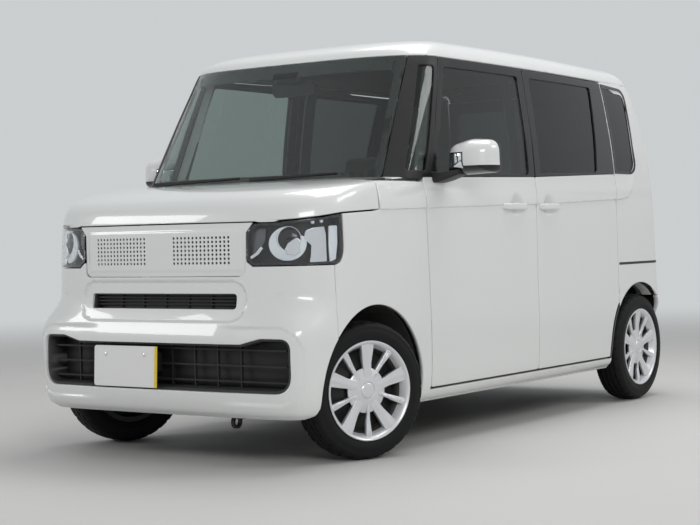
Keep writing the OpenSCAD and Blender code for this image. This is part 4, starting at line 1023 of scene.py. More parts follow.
def bent_box(half_u, half_v, r, count=8):
    """A rounded rectangle round the origin, counter-clockwise."""
    corners = ((half_u - r, half_v - r, 0), (-half_u + r, half_v - r, 90), (-half_u + r, -half_v + r, 180),
               (half_u - r, -half_v + r, 270))
    return np.array([p for cx, cz, a in corners for p in arc(cx, cz, r, a, a + 90, count)])

# %% [markdown]
# The windshield is one curved pane. A black ceramic border is fired onto its inside to hide the glue, so a
# thin black ring lies just behind the glass. Beside it stands the black corner pillar with its own small
# window, drawn on the unrolled corner of the glasshouse.

# %% Windshield and corner pillars
SCREEN = [(-635, 1136), (635, 1136), (583, 1675), (-583, 1675)]
BORDER = [(-600, 1166), (600, 1166), (553, 1612), (-553, 1612)]
CORNER_WINDOW = [(897, 1168), (667, 1630), (588, 1630), (764, 1168)]


def screen_form(y, z):
    return np.column_stack([whole.front(y, z), y, z])


screen = panel("windshield_glass", rounded(SCREEN, 22), screen_form, 4.5, [screen_glass], roll=0.8, step=40,
               lift=-0.6)
border = panel("windshield_border", rounded(grown(SCREEN, -2), 22), screen_form, 1.5, [gloss_black],
               holes=[rounded(BORDER, 40)], roll=0.4, step=30, lift=-5.6)
place(screen, "body", "window_glass", "windshield")
place(border, "body", "black_plastic")

on_x, on_y = screen_wrap.by_x, screen_wrap.by_y
for name, side in SIDES:
    form = lambda s, v, side=side: screen_wrap.point(s, v) * np.array([1, side, 1])
    heights = np.linspace(1138, 1672, 20)
    outline = ([on_y(float(np.interp(z, [1136, 1675], [637, 585])), z) for z in heights[::-1]]
               + [on_x(x, 1131) for x in (930, 880, 840)] + [on_x(DOOR_X + GAP, 1131), on_x(DOOR_X + GAP, 1152)]
               + [on_x(x, z) for x, z in ((DOOR_X - 66, 1167), (700, 1214), (640, 1411), (580, 1574), (553, 1660),
                                          (550, 1672))])
    window = [on_x(x, z) for x, z in closed(rounded(CORNER_WINDOW, 14), 12, True)]
    pillar = panel(f"corner_pillar_{name}", rounded(outline, 3), form, 22, [satin_black, cabin_grey],
                   holes=[window], roll=2.5, lift=1.4)
    pane = panel(f"corner_pane_{name}",
                 [on_x(x, z) for x, z in closed(rounded(grown(CORNER_WINDOW, 8), 14), 12, True)],
                 form, GLASS_T, [side_glass], roll=0.8, step=30, lift=-5)
    place(pillar, "body", "black_plastic")
    place(pane, "body", "window_glass", *(["side_glasses"] if side == 1 else []))
print("windshield and corner pillars made")

# %% [markdown]
# A headlamp is a dark tub behind a clear lens. In the tub stand a thick white light guide in the shape of
# a C, a dark projector inside it, bright reflectors towards the corner and two small lights above them.
# They are drawn as shares of the lamp's width and height, as one would measure them in a picture.

# %% Headlamps
on_x, on_y = nose_wrap.by_x, nose_wrap.by_y
LAMP_MID_Z, TUB_DEPTH = 877.0, 50.0
SHARES = [0, 0.173, 0.302, 0.414, 0.569, 0.758, 0.89, 1]
PLACES = [on_y(y, LAMP_MID_Z)[0] for y in (430, 500, 550, 590, 640, 690, 715)] + [on_x(1398, LAMP_MID_Z)[0]]


def lamp_at(across, up):
    s = float(np.interp(across, SHARES, PLACES))
    x = float(nose_wrap.point(np.array([s]), nose_wrap.v(np.array([LAMP_MID_Z])))[0, 0])
    return s, float(nose_wrap.v(790 + up * (hood_line(x) - GAP - 790)))


lamp_half = ([on_y(y, z) for y, z in ((520, 790), (460, 790), (431, 820), (431, 922), (462, 954))]
             + [on_y(y, hood_line(1640) - GAP) for y in (500, 540, 570)]
             + [on_x(x, hood_line(x) - GAP) for x in np.linspace(1590, 1399, 12)]
             + [on_x(x, z) for x, z in ((1398, 900), (1398, 862), (1400, 838), (1407, 817), (1419, 800),
                                        (1439, 791))]
             + [on_x(x, 790) for x in (1480, 1520, 1560)])
lamp_outline = closed(rounded(lamp_half, 10), 10, True)
bezel_grey = finish("lamp_bezel_grey", (0.15, 0.155, 0.165), 0.28, film=0.03, bump=0.03, plain=(("Metallic", 0.7),))

bulb = lathe("bulb", [(0, 0), (7.5, 0), (7.5, 3), (5.5, 6), (2.5, 7.4), (0, 7.8)], [light_guide], 24)
dome = [(0, 12)] + [(46 * sin(a), 12 + 16 * cos(a)) for a in np.linspace(0.12, pi / 2, 9)] + [(46, 0), (0, 0)]
projector = lathe("projector", dome, [gloss_black], 48)
barrel = lathe("barrel", [(45, 0), (50, 0), (50, 14), (48.5, 16), (46.5, 16), (45, 14)], [chrome], 64)

for name, side in SIDES:
    form = lambda s, v, side=side: nose_wrap.point(s, v) * np.array([1, side, 1])
    tub_hole = set_in(lamp_outline, 11)
    lens = panel("lens", set_in(lamp_outline, 0.6), form, 3, [lens_clear], roll=1.5, step=18, lift=-0.5)
    rim = panel("rim", set_in(lamp_outline, 2), form, TUB_DEPTH, [gloss_black], holes=[tub_hole], roll=1.5, step=18,
                lift=-4)
    back = panel("back", set_in(lamp_outline, 6), form, 3, [satin_black], roll=1, step=24, lift=-TUB_DEPTH)
    u0, v0 = lamp_at(0.425, 0.50)
    outer = [(u0 + 80 * cos(radians(a)), v0 + 68 * sin(radians(a))) for a in range(92, 384, 7)]
    inner = [(u0 + 6 + 47 * cos(radians(a)), v0 + 18 + 47 * sin(radians(a))) for a in range(378, 92, -7)]
    guide = panel("guide", outer + inner, form, 10, [light_guide], roll=3, step=12, lift=-22)
    shapes = [("reflector", chrome, -20, [(0.60, 0.60), (0.62, 0.76), (0.71, 0.81), (0.822, 0.80), (0.846, 0.64),
                                          (0.86, 0.06), (0.665, 0.05), (0.68, 0.2), (0.685, 0.42)]),
              ("strip", light_guide, -14, [(0.868, 0.80), (0.955, 0.78), (0.96, 0.42), (0.945, 0.10), (0.885, 0.05),
                                           (0.872, 0.4)]),
              ("facet", chrome, -12, [(0.152, 0.47), (0.17, 0.40), (0.127, 0.27), (0.04, 0.14), (0.022, 0.2),
                                      (0.107, 0.33)]),
              ("bezel", bezel_grey, -30, [(0.03, 0.86), (0.18, 0.88), (0.175, 0.58), (0.15, 0.49), (0.07, 0.31),
                                          (0.03, 0.26)]),
              ("leaf", chrome, -12, [(0.40, 0.36), (0.43, 0.50), (0.52, 0.62), (0.57, 0.54), (0.555, 0.28),
                                     (0.50, 0.22), (0.42, 0.25)])]
    parts = [rim, back, guide]
    for label, material, depth, outline in shapes:
        parts.append(panel(label, rounded([lamp_at(*p) for p in outline], 6), form, 6, [material], roll=1.5,
                           step=14, lift=depth))
    for source, across, up, depth in ((bulb, 0.69, 0.925, 16), (bulb, 0.785, 0.925, 16),
                                      (projector, 0.433, 0.605, 44), (barrel, 0.433, 0.605, 40)):
        uv = np.array([lamp_at(across, up)])
        n, p = normals_of(form, uv)
        parts.append(copied("light", source, p[0] - n[0] * depth, n[0]))
    place(joined(f"headlamp_{name}", parts), "body", "lamp_housing", *(["headlamps"] if side == 1 else []))
    lens.name = lens.data.name = f"headlamp_lens_{name}"
    place(lens, "body", "lamp_lens", *(["headlamp_lenses"] if side == 1 else []))
for spare in (bulb, projector, barrel):
    bpy.data.objects.remove(spare)
print("headlamps made")

# %% [markdown]
# Bars repeat, so Geometry Nodes lay them: a cube is copied along a line, and the copies become real mesh.
# The numbers are named inputs of the node group, so one group serves the mouth, the slot, the dashboard vents and
# the seat frames.

# %% Bars by Geometry Nodes
bar_tree = bpy.data.node_groups.new("row_of_bars", "GeometryNodeTree")
bar_tree.is_modifier = True
SOCKETS = {}
for label, kind in (("Size", "NodeSocketVector"), ("Count", "NodeSocketInt"), ("Start", "NodeSocketVector"),
                    ("Step", "NodeSocketVector"), ("Material", "NodeSocketMaterial")):
    SOCKETS[label] = bar_tree.interface.new_socket(label, in_out="INPUT", socket_type=kind).identifier
bar_tree.interface.new_socket("Geometry", in_out="OUTPUT", socket_type="NodeSocketGeometry")
b_in, b_out = bar_tree.nodes.new("NodeGroupInput"), bar_tree.nodes.new("NodeGroupOutput")
bar = add(bar_tree, "GeometryNodeMeshCube", [("Size", b_in.outputs["Size"])])
row = add(bar_tree, "GeometryNodeMeshLine",
          [("Count", b_in.outputs["Count"]), ("Start Location", b_in.outputs["Start"]),
           ("Offset", b_in.outputs["Step"])])
copies = add(bar_tree, "GeometryNodeInstanceOnPoints",
             [("Points", row.outputs[0]), ("Instance", bar.outputs["Mesh"])])
solid = add(bar_tree, "GeometryNodeRealizeInstances", [("Geometry", copies.outputs[0])])
coated = add(bar_tree, "GeometryNodeSetMaterial",
             [("Geometry", solid.outputs[0]), ("Material", b_in.outputs["Material"])])
bar_tree.links.new(coated.outputs[0], b_out.inputs[0])


def bars(name, size, count, start, step, material):
    """A row of bars in millimetres, as plain mesh."""
    holder = bpy.data.objects.new(name, bpy.data.meshes.new(name))
    scene.collection.objects.link(holder)
    modifier = holder.modifiers.new("row", "NODES")
    modifier.node_group = bar_tree
    for label, value in (("Size", size), ("Start", start), ("Step", step)):
        modifier[SOCKETS[label]] = tuple(0.001 * v for v in value)
    modifier[SOCKETS["Count"]] = count
    modifier[SOCKETS["Material"]] = material
    evaluated = holder.evaluated_get(bpy.context.evaluated_depsgraph_get())
    mesh = bpy.data.meshes.new_from_object(evaluated)
    holder.modifiers.clear()
    holder.data = mesh
    return holder

# %% [markdown]
# The mouth and the slot are deep and dark. A collar lines each opening, a back wall follows the bumper, and
# thin bars cross it. The number plate stands off to the car's right on a bracket. It is left blank.

# %% Lower openings and number plate
PLATE_Y, PLATE_Z, PLATE_X = -168.0, 388.0, 1690.0
PLATE_W, PLATE_H = 342.0, 166.0


def opening(label, shape, depth, border):
    edge = closed(rounded(shape, 10, 14), 9, True)
    wrap = lambda loop: [bumper_at(y, z) for y, z in loop]
    collar = panel(label + "_collar", wrap(set_in(edge, -4)), jaw_point, depth, [moulded_black],
                   holes=[wrap(set_in(edge, border))], roll=1.5, lift=-20)
    wall = panel(label + "_wall", wrap(set_in(edge, -6)), jaw_point, 4, [satin_black], roll=1, step=40,
                 lift=-18 - depth)
    return [collar, wall]


parts = opening("mouth", MOUTH, 84, 8) + opening("slot", SLOT, 34, 5)
parts += [bars("long_bars", (16, 1230, 7), 3, (1622, 0, 338), (0, 0, 62), satin_black),
          bars("uprights_left", (12, 6, 178), 4, (1622, 34, 391), (0, 118, 0), satin_black),
          bars("uprights_right", (12, 6, 178), 2, (1622, -350, 391), (0, -130, 0), satin_black),
          bars("slot_bars", (14, 730, 6), 3, (1617, 0, 638), (0, 0, 14), satin_black),
          bars("slot_uprights", (10, 5, 58), 5, (1616, -240, 652), (0, 120, 0), satin_black)]
plate_form = lambda y, z: np.column_stack([np.full(len(y), PLATE_X) - 0.05 * (z - PLATE_Z), y, z])
ahead = lambda distance: (lambda y, z: plate_form(y, z) + [distance, 0, 0])
box = lambda y0, y1, z0, z1: [(y0, z0), (y1, z0), (y1, z1), (y0, z1)]
y0, y1 = PLATE_Y - PLATE_W / 2, PLATE_Y + PLATE_W / 2
z0, z1 = PLATE_Z - PLATE_H / 2, PLATE_Z + PLATE_H / 2
parts += [panel("bracket", rounded(box(y0 + 30, y1 - 30, z0 + 60, z1 - 20), 12), ahead(-4), 66, [moulded_black],
                roll=2, step=60)]
place(joined("lower_openings", parts), "body", "black_plastic", "lower_grille")
plate = panel("plate", rounded(box(y0, y1, z0, z1), 14), plate_form, 1.6, [plate_white], roll=0.7, step=30)
edge = panel("plate_edge", rounded(box(y1 - 12, y1 + 1.5, z0 - 1, z1 + 1), 6), ahead(1.2), 4, [plate_yellow],
             roll=1.2, step=30)
ridge = panel("plate_ridge", rounded(box(y0 + 4, y1 - 14, z0 + 4, z1 - 4), 11), ahead(0.6), 1, [plate_white],
              holes=[rounded(box(y0 + 7, y1 - 17, z0 + 7, z1 - 7), 9)], roll=0.3, step=40)
head = [(0, 0), (7.5, 0), (7.5, 2.4), (5, 4), (0, 4.2)]
bolt = lathe("bolt", head, [chrome], 20)
bolts = [copied("plate_bolt", bolt, (PLATE_X - 2.4, PLATE_Y + side * 105, 436), (1, 0, 0)) for side in (-1, 1)]
place(joined("number_plate", [plate, edge, ridge, *bolts]), "body", "black_plastic")
sensor = lathe("sensor", [(0, -2), (11, -2), (11, 0.4), (9.6, 1), (9.2, 0.2), (8.6, 0.9), (0, 1.4)], [pearl], 40)
spots = []
for y, z in ((570, 687), (-570, 687), (300, 702), (-300, 702)):
    n, p = normals_of(bumper_form, np.array([bumper_at(y, z)]))
    spots.append(copied("spot", sensor, p[0], n[0]))
place(joined("parking_sensors", spots), "body", "body_paint")
for spare in (bolt, sensor):
    bpy.data.objects.remove(spare)
print("lower openings and number plate made")

# %% [markdown]
# The wheel cover has five broad spokes with a slim one between each pair, pressed from one dished sheet. It is
# drawn once, facing up, with the steel wheel and the brake behind it.

# %% Wheels
RIM_R, TYRE_R = 192.0, 278.5
LEFT_AXIS, LEFT_HUB = (0.3381363, 0.9410545, -0.0089597), (1198.488, 649.91, 278.182)
RIGHT_AXIS, RIGHT_HUB = (-0.3381363, -0.9410545, -0.0089597), (1174.512, -649.91, 278.182)
WHEELS = (("front_left", LEFT_HUB, LEFT_AXIS, 0.32), ("front_right", RIGHT_HUB, RIGHT_AXIS, 0.5),
          ("rear_left", (AXLE_R, 652, AXLE_Z), (0, 1, 0), 0.3),
          ("rear_right", (AXLE_R, -652, AXLE_Z), (0, -1, 0), 0.9))
UP = (0, 0, 1)


def dish(u, v):
    r = np.hypot(u, v)
    return np.column_stack([u, v, 50 + 6 * ease(r / 70) + 10 * ease((r - 100) / 90)])


def spoke(angle, inner, outer, skew, label):
    c, s = cos(angle), sin(angle)
    turned = lambda points: [(u * c - v * s, u * s + v * c, *rest) for u, v, *rest in points]

    def ridge(u, v):
        rise = 4.0 * (1 - ease(np.abs(v * c - u * s) / inner))
        return dish(u, v) + np.column_stack([0 * u, 0 * u, rise])

    shape = [(40, -inner - skew, 3), (104, -inner * 1.05 - skew * 0.4, 30), (189, -outer, 2), (189, outer, 2),
             (104, inner * 1.05 - skew * 0.4, 30), (40, inner - skew, 3)]
    return panel(label, rounded(turned(shape), 3), ridge, 18, [wheel_silver], roll=4, step=9, outward=UP)


spokes = [spoke(2 * pi * k / 5, 20, 31, 6, "broad_spoke") for k in range(5)]
spokes += [spoke(2 * pi * (k + 0.5) / 5, 9, 14, -5, "slim_spoke") for k in range(5)]
ring = lathe("cover_ring", [(170, 34), (177, 50), (184, 63), (189, 71), (193.5, 75), (197, 76.5), (200.5, 75.5),
                            (201.5, 71), (196, 60), (184, 32), (176, 28)], [wheel_silver], 120)
hub = lathe("hub_cap", [(0, 34), (76, 34), (90, 42), (91, 48), (84, 53), (58, 56), (50, 59.5), (36, 60.5), (33, 57),
                        (30, 61), (24, 63), (0, 63.5)], [wheel_silver], 90)
rim = lathe("rim", [(170, -63), (192, -63), (192, -55), (184, -49), (172, -19), (172, 19), (180, 40), (186, 45),
                    (180, 46), (170, 38), (160, 20), (160, -23)], [chassis], 96)
disc = lathe("steel_disc", [(0, 16), (46, 18), (60, 26), (104, 24), (128, 10), (160, 6), (160, 0), (124, 3),
                            (98, 16), (60, 18), (40, 8), (0, 8)], [satin_black], 72)
drum = lathe("brake_drum", [(0, -40), (104, -40), (108, -34), (108, -4), (100, 4), (0, 4)], [chassis], 72)
nut = lathe("nut", [(0, 0), (10.5, 0), (10.5, 12), (7, 16), (0, 16)], [chassis], 6)
nuts = [copied("wheel_nut", nut, (50 * cos(a), 50 * sin(a), 24), UP, upright=(1, 0, 0))
        for a in np.linspace(0.4, 0.4 + 2 * pi, 5)[:4]]
wheel = joined("wheel", [*spokes, ring, hub, rim, disc, drum, *nuts])
print("wheel made, spokes:", len(spokes))

# %% [markdown]
# The tyre is a turned profile with grooves round it, and its blocks come from lowering every sixth step of the
# turn. Copies of wheel and tyre then go to the four axles and ride on the turning bodies.

# %% Tyres and copies
half = [(TYRE_R - 0.2, 0), (TYRE_R - 0.4, 10), (TYRE_R - 7, 11.5), (TYRE_R - 7, 17), (TYRE_R - 0.6, 18.5),
        (TYRE_R - 1.2, 36), (TYRE_R - 8, 37.5), (TYRE_R - 8, 43), (TYRE_R - 2, 44.5), (TYRE_R - 5.5, 57),
        (TYRE_R - 11, 66), (TYRE_R - 19, 71.5), (TYRE_R - 24, 73), (TYRE_R - 26, 72.6), (TYRE_R - 36, 76.5),
        (TYRE_R - 47, 78.2), (TYRE_R - 58, 77.4), (TYRE_R - 68, 74.4),
        (TYRE_R - 74, 71.6), (TYRE_R - 77, 72.6), (TYRE_R - 81, 71.4), (RIM_R + 1, 65), (RIM_R + 0.6, 56),
        (RIM_R - 6, 49)]
profile = half + [(r, -h) for r, h in half[:0:-1]]
turn_steps = 180


def tread(points, k):
    r, h = points[:, 0], np.abs(points[:, 1])
    shoulder = (h > 44) & (h < 67) & (r > TYRE_R - 12)
    centre = (h > 18.4) & (h < 36.5) & (r > TYRE_R - 2)
    return -4.5 * (shoulder & (k % 6 == 0)) - 3.5 * (centre & (k % 6 == 3))


tyre = lathe("tyre", profile, [rubber], turn_steps, wave=tread)
for name, centre, axis, spin in WHEELS:
    place(copied(f"wheel_cover_{name}", wheel, centre, axis, spin), f"road_wheel_{name}", "wheel_silver",
          f"wheel_{name}")
    place(copied(f"tyre_tread_{name}", tyre, centre, axis), f"road_wheel_{name}", "tyre_rubber", f"tyre_{name}")
for spare in (wheel, tyre, nut):
    bpy.data.objects.remove(spare)
print("wheels and tyres made")

# %% [markdown]
# A door mirror is a rounded cap over a dark shell, with a small lamp at its inner front and a foot on the
# door. The head is a loft of one outline that shrinks towards the front, cut by planes where colours meet.
# The door handles are lofts too, bowed over their cups.

# %% Mirrors and handles
HEAD_X, HEAD_Y, HEAD_Z = 588.0, 750.0, 1146.0
HEAD_W, HEAD_H, HEAD_D = 232.0, 155.0, 114.0


def cut(made, planes):
    work = bmesh.new()
    work.from_mesh(made.data)
    for at, normal in planes:
        bmesh.ops.bisect_plane(work, geom=work.verts[:] + work.edges[:] + work.faces[:],
                               plane_co=Vector(at) * 0.001, plane_no=normal)
    work.to_mesh(made.data)
    work.free()


def paint(made, choose):
    """Gives each face a material by its middle, in millimetres."""
    for face in made.data.polygons:
        face.material_index = choose(*(1000 * c for c in face.center))


for name, side in SIDES:
    body = f"door_{name}"
    base = rounded([(0, 0, 22), (HEAD_W, 8, 26), (HEAD_W - 4, HEAD_H - 10, 58), (HEAD_W * 0.5, HEAD_H, 120),
                    (8, HEAD_H - 26, 62)], 40, 9)
    middle = np.array([HEAD_W * 0.5, HEAD_H * 0.46])
    rings = []
    for t, scale in [(0, 0.955), (0.015, 0.985), (0.05, 1)] + [(t, (1 - t ** 2.7) ** (1 / 2.4))
                                                               for t in np.linspace(0.12, 0.985, 18)]:
        flat = middle + (base - middle) * scale
        rings.append(np.column_stack([np.full(len(flat), HEAD_X + t * HEAD_D - 8 * (flat[:, 0] / HEAD_W - 0.2)),
                                      side * (HEAD_Y + flat[:, 0]), HEAD_Z + flat[:, 1]]))
    head = loft(f"mirror_head_{name}", rings, [pearl, gloss_black, chrome, lens_clear], 50)
    trim_z, lamp_y, lamp_z = HEAD_Z + 38, HEAD_Y + 102, HEAD_Z + 90
    cut(head, [((0, 0, trim_z), (0, 0, 1)), ((0, 0, trim_z - 10), (0, 0, 1)), ((0, 0, HEAD_Z + 12), (0, 0, 1)),
               ((0, side * lamp_y, 0), (0, 1, 0)), ((0, side * (lamp_y + 6), 0), (0, 1, 0)),
               ((0, 0, lamp_z), (0, 0, 1)), ((0, 0, lamp_z + 6), (0, 0, 1)), ((HEAD_X + 10, 0, 0), (1, 0, 0))])

    def colour(x, y, z):
        y = abs(y)
        if x < HEAD_X + 10:
            return 1
        if y < lamp_y and trim_z - 10 < z < lamp_z:
            return 2
        if y < lamp_y + 6 and z < lamp_z + 6 or z < trim_z:
            return 1
        return 0

    paint(head, colour)
    glass_ring = set_in(closed(base, 8, True), 9)
    pane = panel(f"mirror_pane_{name}", glass_ring, lambda y, z, side=side: np.column_stack(
        [HEAD_X - 1.5 - 8 * (y / HEAD_W - 0.2), side * (HEAD_Y + y), HEAD_Z + z]), 3, [chrome], roll=0.8, step=30,
        outward=(-1, 0, 0))
    foot = [((674, 716, 1140), 48, 24), ((672, 742, 1141), 50, 23), ((664, 770, 1145), 50, 19),
            ((656, 800, 1152), 46, 15), ((652, 832, 1160), 38, 11)]
    rings = [np.column_stack([c[0] + b[:, 0], np.full(len(b), side * c[1]), c[2] + b[:, 1]])
             for c, hx, hz in foot for b in [bent_box(hx, hz, min(hx, hz) * 0.6, 6)]]
    stalk = loft("stalk", rings, [satin_black], 50)
    place(joined(f"mirror_{name}_shell", [head, stalk, pane]), body, "body_paint", f"mirror_{name}")

    for hx, reach, rides, label in ((HANDLES[0] + 18, 108, body, "door"), (HANDLES[1] - 4, 96, "body", "sliding")):
        rings = []
        for t in np.linspace(-1, 1, 33):
            x = hx + reach * np.sign(t) * (abs(t) ** 0.8)
            y = float(whole.side(np.array([x]), np.array([HANDLE_Z]))[0])
            stand = -4 + 25 * (1 - abs(t) ** 5)
            half_z, half_y = 15.5 * (1 - 0.12 * t * t) * (1 - 0.55 * abs(t) ** 14), 8.5 * (1 - 0.5 * abs(t) ** 12)
            b = bent_box(half_y, half_z, 7.5 * (1 - 0.5 * abs(t) ** 12), 6)
            rings.append(np.column_stack([np.full(len(b), x), side * (y + stand + b[:, 0]),
                                          HANDLE_Z - 6 + b[:, 1]]))
        grip = loft(f"{label}_handle_{name}", rings, [pearl], 50)
        place(grip, rides, "body_paint")
print("mirrors and handles made")

# %% [markdown]
# The tailgate is one wall from the bumper to the roof, with a hollow for the grip, and it carries the last
# strip of the roof, which makes a small spoiler. Its window is dark. All of it rides on the tailgate's body.

# %% Tailgate
TAIL_WINDOW = [(-556, 1134), (556, 1134), (505, 1606), (-505, 1606)]
TAIL_TOP_Z = 1672.0


def tail_form(y, z):
    hollow = box_distance(y, z, 240, 762, 946, 34)
    ledge = box_distance(y, z, 560, 1020, 1100, 38)
    inward = 20 * (1 - ease((hollow + 12) / 16)) + 3 * (1 - ease((ledge + 4) / 8))
    return np.column_stack([whole.rear(y, z) + inward, y, z])


def rim_points(half_y, z0, z1, r, distances):
    box_ = np.array([(-half_y, z0), (half_y, z0), (half_y, z1), (-half_y, z1)], float)
    return [closed(rounded(grown(box_, d), r + max(d, 0)), 10, True) for d in distances]


heights = np.linspace(TAIL_LOW_Z + GAP, TAIL_TOP_Z, 30)
half = [(float(tail_edge(z)) - GAP, float(z)) for z in heights]
outline = half + [(-y, z) for y, z in half[::-1]]
wall = panel("tailgate_skin", rounded(outline, 8), tail_form, 40, [pearl, cabin_grey],
             holes=[rounded(TAIL_WINDOW, 46)],
             more=rim_points(240, 762, 946, 34, (-12, -8, -4, 0, 4)) + rim_points(560, 1020, 1100, 38, (-4, 0, 4)),
             step=18, outward=(-1, 0, 0))
place(wall, "tailgate", "body_paint", "tailgate")
pane = panel("tailgate_pane", rounded(grown(TAIL_WINDOW, 12), 50), tail_form, GLASS_T, [privacy_glass], roll=0.8,
             step=36, lift=-3.5)
place(pane, "tailgate", "window_glass", "tailgate_glass")

top_y = notch_y - 2 * GAP
back = mirrored(plan_ring(TAIL_TOP_Z + 2))
back = back[(back[:, 0] < TAIL_HINGE_X) & (np.abs(back[:, 1]) < top_y)]
back = back[np.argsort(-back[:, 1])]
outline = np.vstack([[(TAIL_HINGE_X - GAP, top_y)], back, [(TAIL_HINGE_X - GAP, -top_y)]])
spoiler = panel("spoiler_skin", rounded(outline, 3), roof_form, 24, [pearl, cabin_grey], step=22, roll=2.0,
                more=edge_rows)
place(spoiler, "tailgate", "body_paint")
flat_rear = lambda y, z: np.column_stack([whole.rear(y, z), y, z])
brake = panel("high_brake_lamp", rounded(box(-150, 150, 1634, 1654), 8), flat_rear, 8, [red_lens], roll=2, step=30,
              lift=2)
place(brake, "tailgate", "tail_lens")
grip = panel("tailgate_grip", rounded(box(-150, 150, 902, 940), 14), flat_rear, 14, [satin_black], roll=4, step=30,
             lift=-3)
place(grip, "tailgate", "black_plastic")
print("tailgate made")

# %% [markdown]
# The tail lamps turn the rear corners in the notches that the quarters leave for them: red above, clear below
# for reversing, both over a dark housing. The rear bumper is drawn on the unrolled rear corner, and so is the
# slot in which the sliding door's middle arm runs.

# %% Tail lamps, rear bumper and slide rails
on_x = lambda x, z: (tail_wrap.by_x(x, z)[0], z)
on_y = lambda y, z: (tail_wrap.by_y(y, z)[0], z)
for name, side in SIDES:
    form = lambda s, z, side=side: tail_wrap.point(s, tail_wrap.v(z)) * np.array([1, side, 1])

    def block(z0, z1):
        return rounded([on_y(624.5, z0), on_y(668, z0), on_x(-1609, z0), on_x(-1609, z1), on_y(668, z1),
                        on_y(624.5, z1)], 7)

    red = panel("red", block(912, 1141), form, 7, [red_lens], roll=3, step=16, lift=1.5)
    ring = panel("ring",
                 rounded([on_y(636, 932), on_y(668, 932), on_x(-1618, 932), on_x(-1618, 1122), on_y(668, 1122),
                          on_y(636, 1122)], 16),
                 form, 5, [light_guide],
                 holes=[rounded([on_y(648, 950), on_x(-1632, 950), on_x(-1632, 1104), on_y(648, 1104)], 12)],
                 roll=1.5, step=16, lift=-7)
    clear = panel("clear", block(819, 908), form, 7, [lens_clear], roll=3, step=16, lift=1.5)
    bowl = panel("bowl", block(821, 1139), form, 4, [bezel_grey], roll=1, step=20, lift=-16)
    lamp = joined(f"tail_lamp_{name}", [red, ring, clear, bowl])
    place(lamp, "body", "tail_lens", *(["tail_lamps"] if side == 1 else []))

    def rail_form(s, z, side=side):
        p = form(s, z)
        p[:, 1] += side * side_shape(p[:, 0], p[:, 2]) * (np.abs(s) > tail_wrap.length)
        return p

    xs = np.linspace(-1079, -1470, 12)
    rail = [on_x(x, 719) for x in xs] + [on_x(-1606, 719), on_x(-1606, 732)] + [on_x(x, 732) for x in xs[::-1]]
    slot = panel(f"slide_rail_{name}", rounded(rail, 5), rail_form, 1.6, [satin_black], roll=0.5, lift=1.9)
    place(slot, "body", "black_plastic")

tail_point = lambda s, z: tail_wrap.point(s, tail_wrap.v(z))
half = ([on_y(y, 206) for y in np.linspace(0, 560, 16)] + [on_y(604, 219), on_y(632, 252), on_y(642, 300),
                                                           on_y(644, 392)]
        + [on_x(x, z) for x, z in arc(AXLE_R, AXLE_Z, ARCH_R, 157, 130.6, 14)]
        + [on_x(x, TAIL_LOW_Z - SEAM) for x in (-1570, -1600, -1630)]
        + [on_y(y, TAIL_LOW_Z - SEAM) for y in (700, 670, 620, 500, 300, 100, 0)])
half = np.array(half)
outline = np.vstack([half, (half * [-1, 1])[::-1]])
bumper = panel("rear_bumper_skin", outline, tail_point, 24, [pearl, moulded_black], step=18, lift=0.5)
place(bumper, "body", "body_paint", "rear_bumper")
for name, side in SIDES:
    form = lambda s, z, side=side: tail_point(s, z) * np.array([1, side, 1])
    strip = panel(f"rear_reflector_{name}",
                  rounded([on_y(500, 392), on_y(604, 392), on_y(604, 414), on_y(500, 414)], 6), form, 6,
                  [red_lens], roll=2, lift=2.5)
    place(strip, "body", "tail_lens")
print("rear end made")

# %% [markdown]
# The cabin shows through the glass. The dashboard is a loft of one section across the car, with a hood raised
# over the instruments in front of the driver, who sits on the right. The steering wheel is turned on the lathe,
# leans back with its column and rides on the steering body.

# %% Dashboard and steering wheel
SEAT_Y = 318.0
section = rounded([(952, 690), (952, 1052, 20), (760, 1066, 60), (662, 1020, 40), (648, 962, 24), (676, 940, 20),
                   (668, 836, 60), (764, 692, 40)], 20, 7)
rings = []
for y in np.concatenate([[-600, -597, -590], np.linspace(-576, 576, 74), [590, 597, 600]]):
    shrink = 1 - 0.05 * ease((abs(y) - 580) / 20)
    middle = np.array([830.0, 880.0])
    ring = middle + (section - middle) * shrink
    across = np.exp(-((y + SEAT_Y) / 165) ** 4)
    along = np.exp(-((ring[:, 0] - 730) / 75) ** 2) * (ring[:, 1] > 1000)
    rings.append(np.column_stack([ring[:, 0], np.full(len(ring), y), ring[:, 1] + 46 * across * along]))
dash = loft("dashboard_shell", rings, [cabin_grey], 35)
tilt = lambda x0, z0, lean: (lambda y, z: np.column_stack([x0 + lean * (z - z0), y, z]))
display = panel("display", rounded(box(-118, 118, 1010, 1142), 12), tilt(640, 1010, 0.28), 16, [gloss_black],
                roll=3, step=40, outward=(-1, 0, 0))
dials = panel("dials", rounded(box(-SEAT_Y - 130, -SEAT_Y + 130, 1016, 1084), 14), tilt(655, 1016, 0.3), 6,
              [gloss_black], roll=2, step=40, outward=(-1, 0, 0))
parts = [dash, display, dials]
for y in (-545, -160, 160, 545):
    parts.append(panel("vent_frame", rounded(box(y - 46, y + 46, 964, 1004), 10), tilt(647, 964, 0.15), 8,
                       [satin_black], roll=2, step=40, outward=(-1, 0, 0)))
    parts.append(bars("vent_slats", (3, 84, 3), 5, (645, y, 970), (1, 0, 7), cabin_light))
console = [np.column_stack([x + b[:, 0], b[:, 1], np.full(len(b), z)]) for x, hx, hy, z in
           ((830, 100, 118, 264), (828, 98, 116, 400), (800, 110, 112, 560), (775, 105, 112, 690),
            (760, 80, 112, 740))
           for b in [bent_box(hx, hy, 26, 6)]]
parts.append(loft("console", console, [cabin_grey], 40))
gear = lathe("gear_knob", [(0, 0), (9, 0), (9, 60), (20, 70), (23, 86), (19, 100), (10, 108), (0, 109)],
             [satin_black], 28)
parts.append(copied("gear_lever", gear, (660, -60, 800), (-0.8, 0, 0.6), upright=(0, 1, 0)))
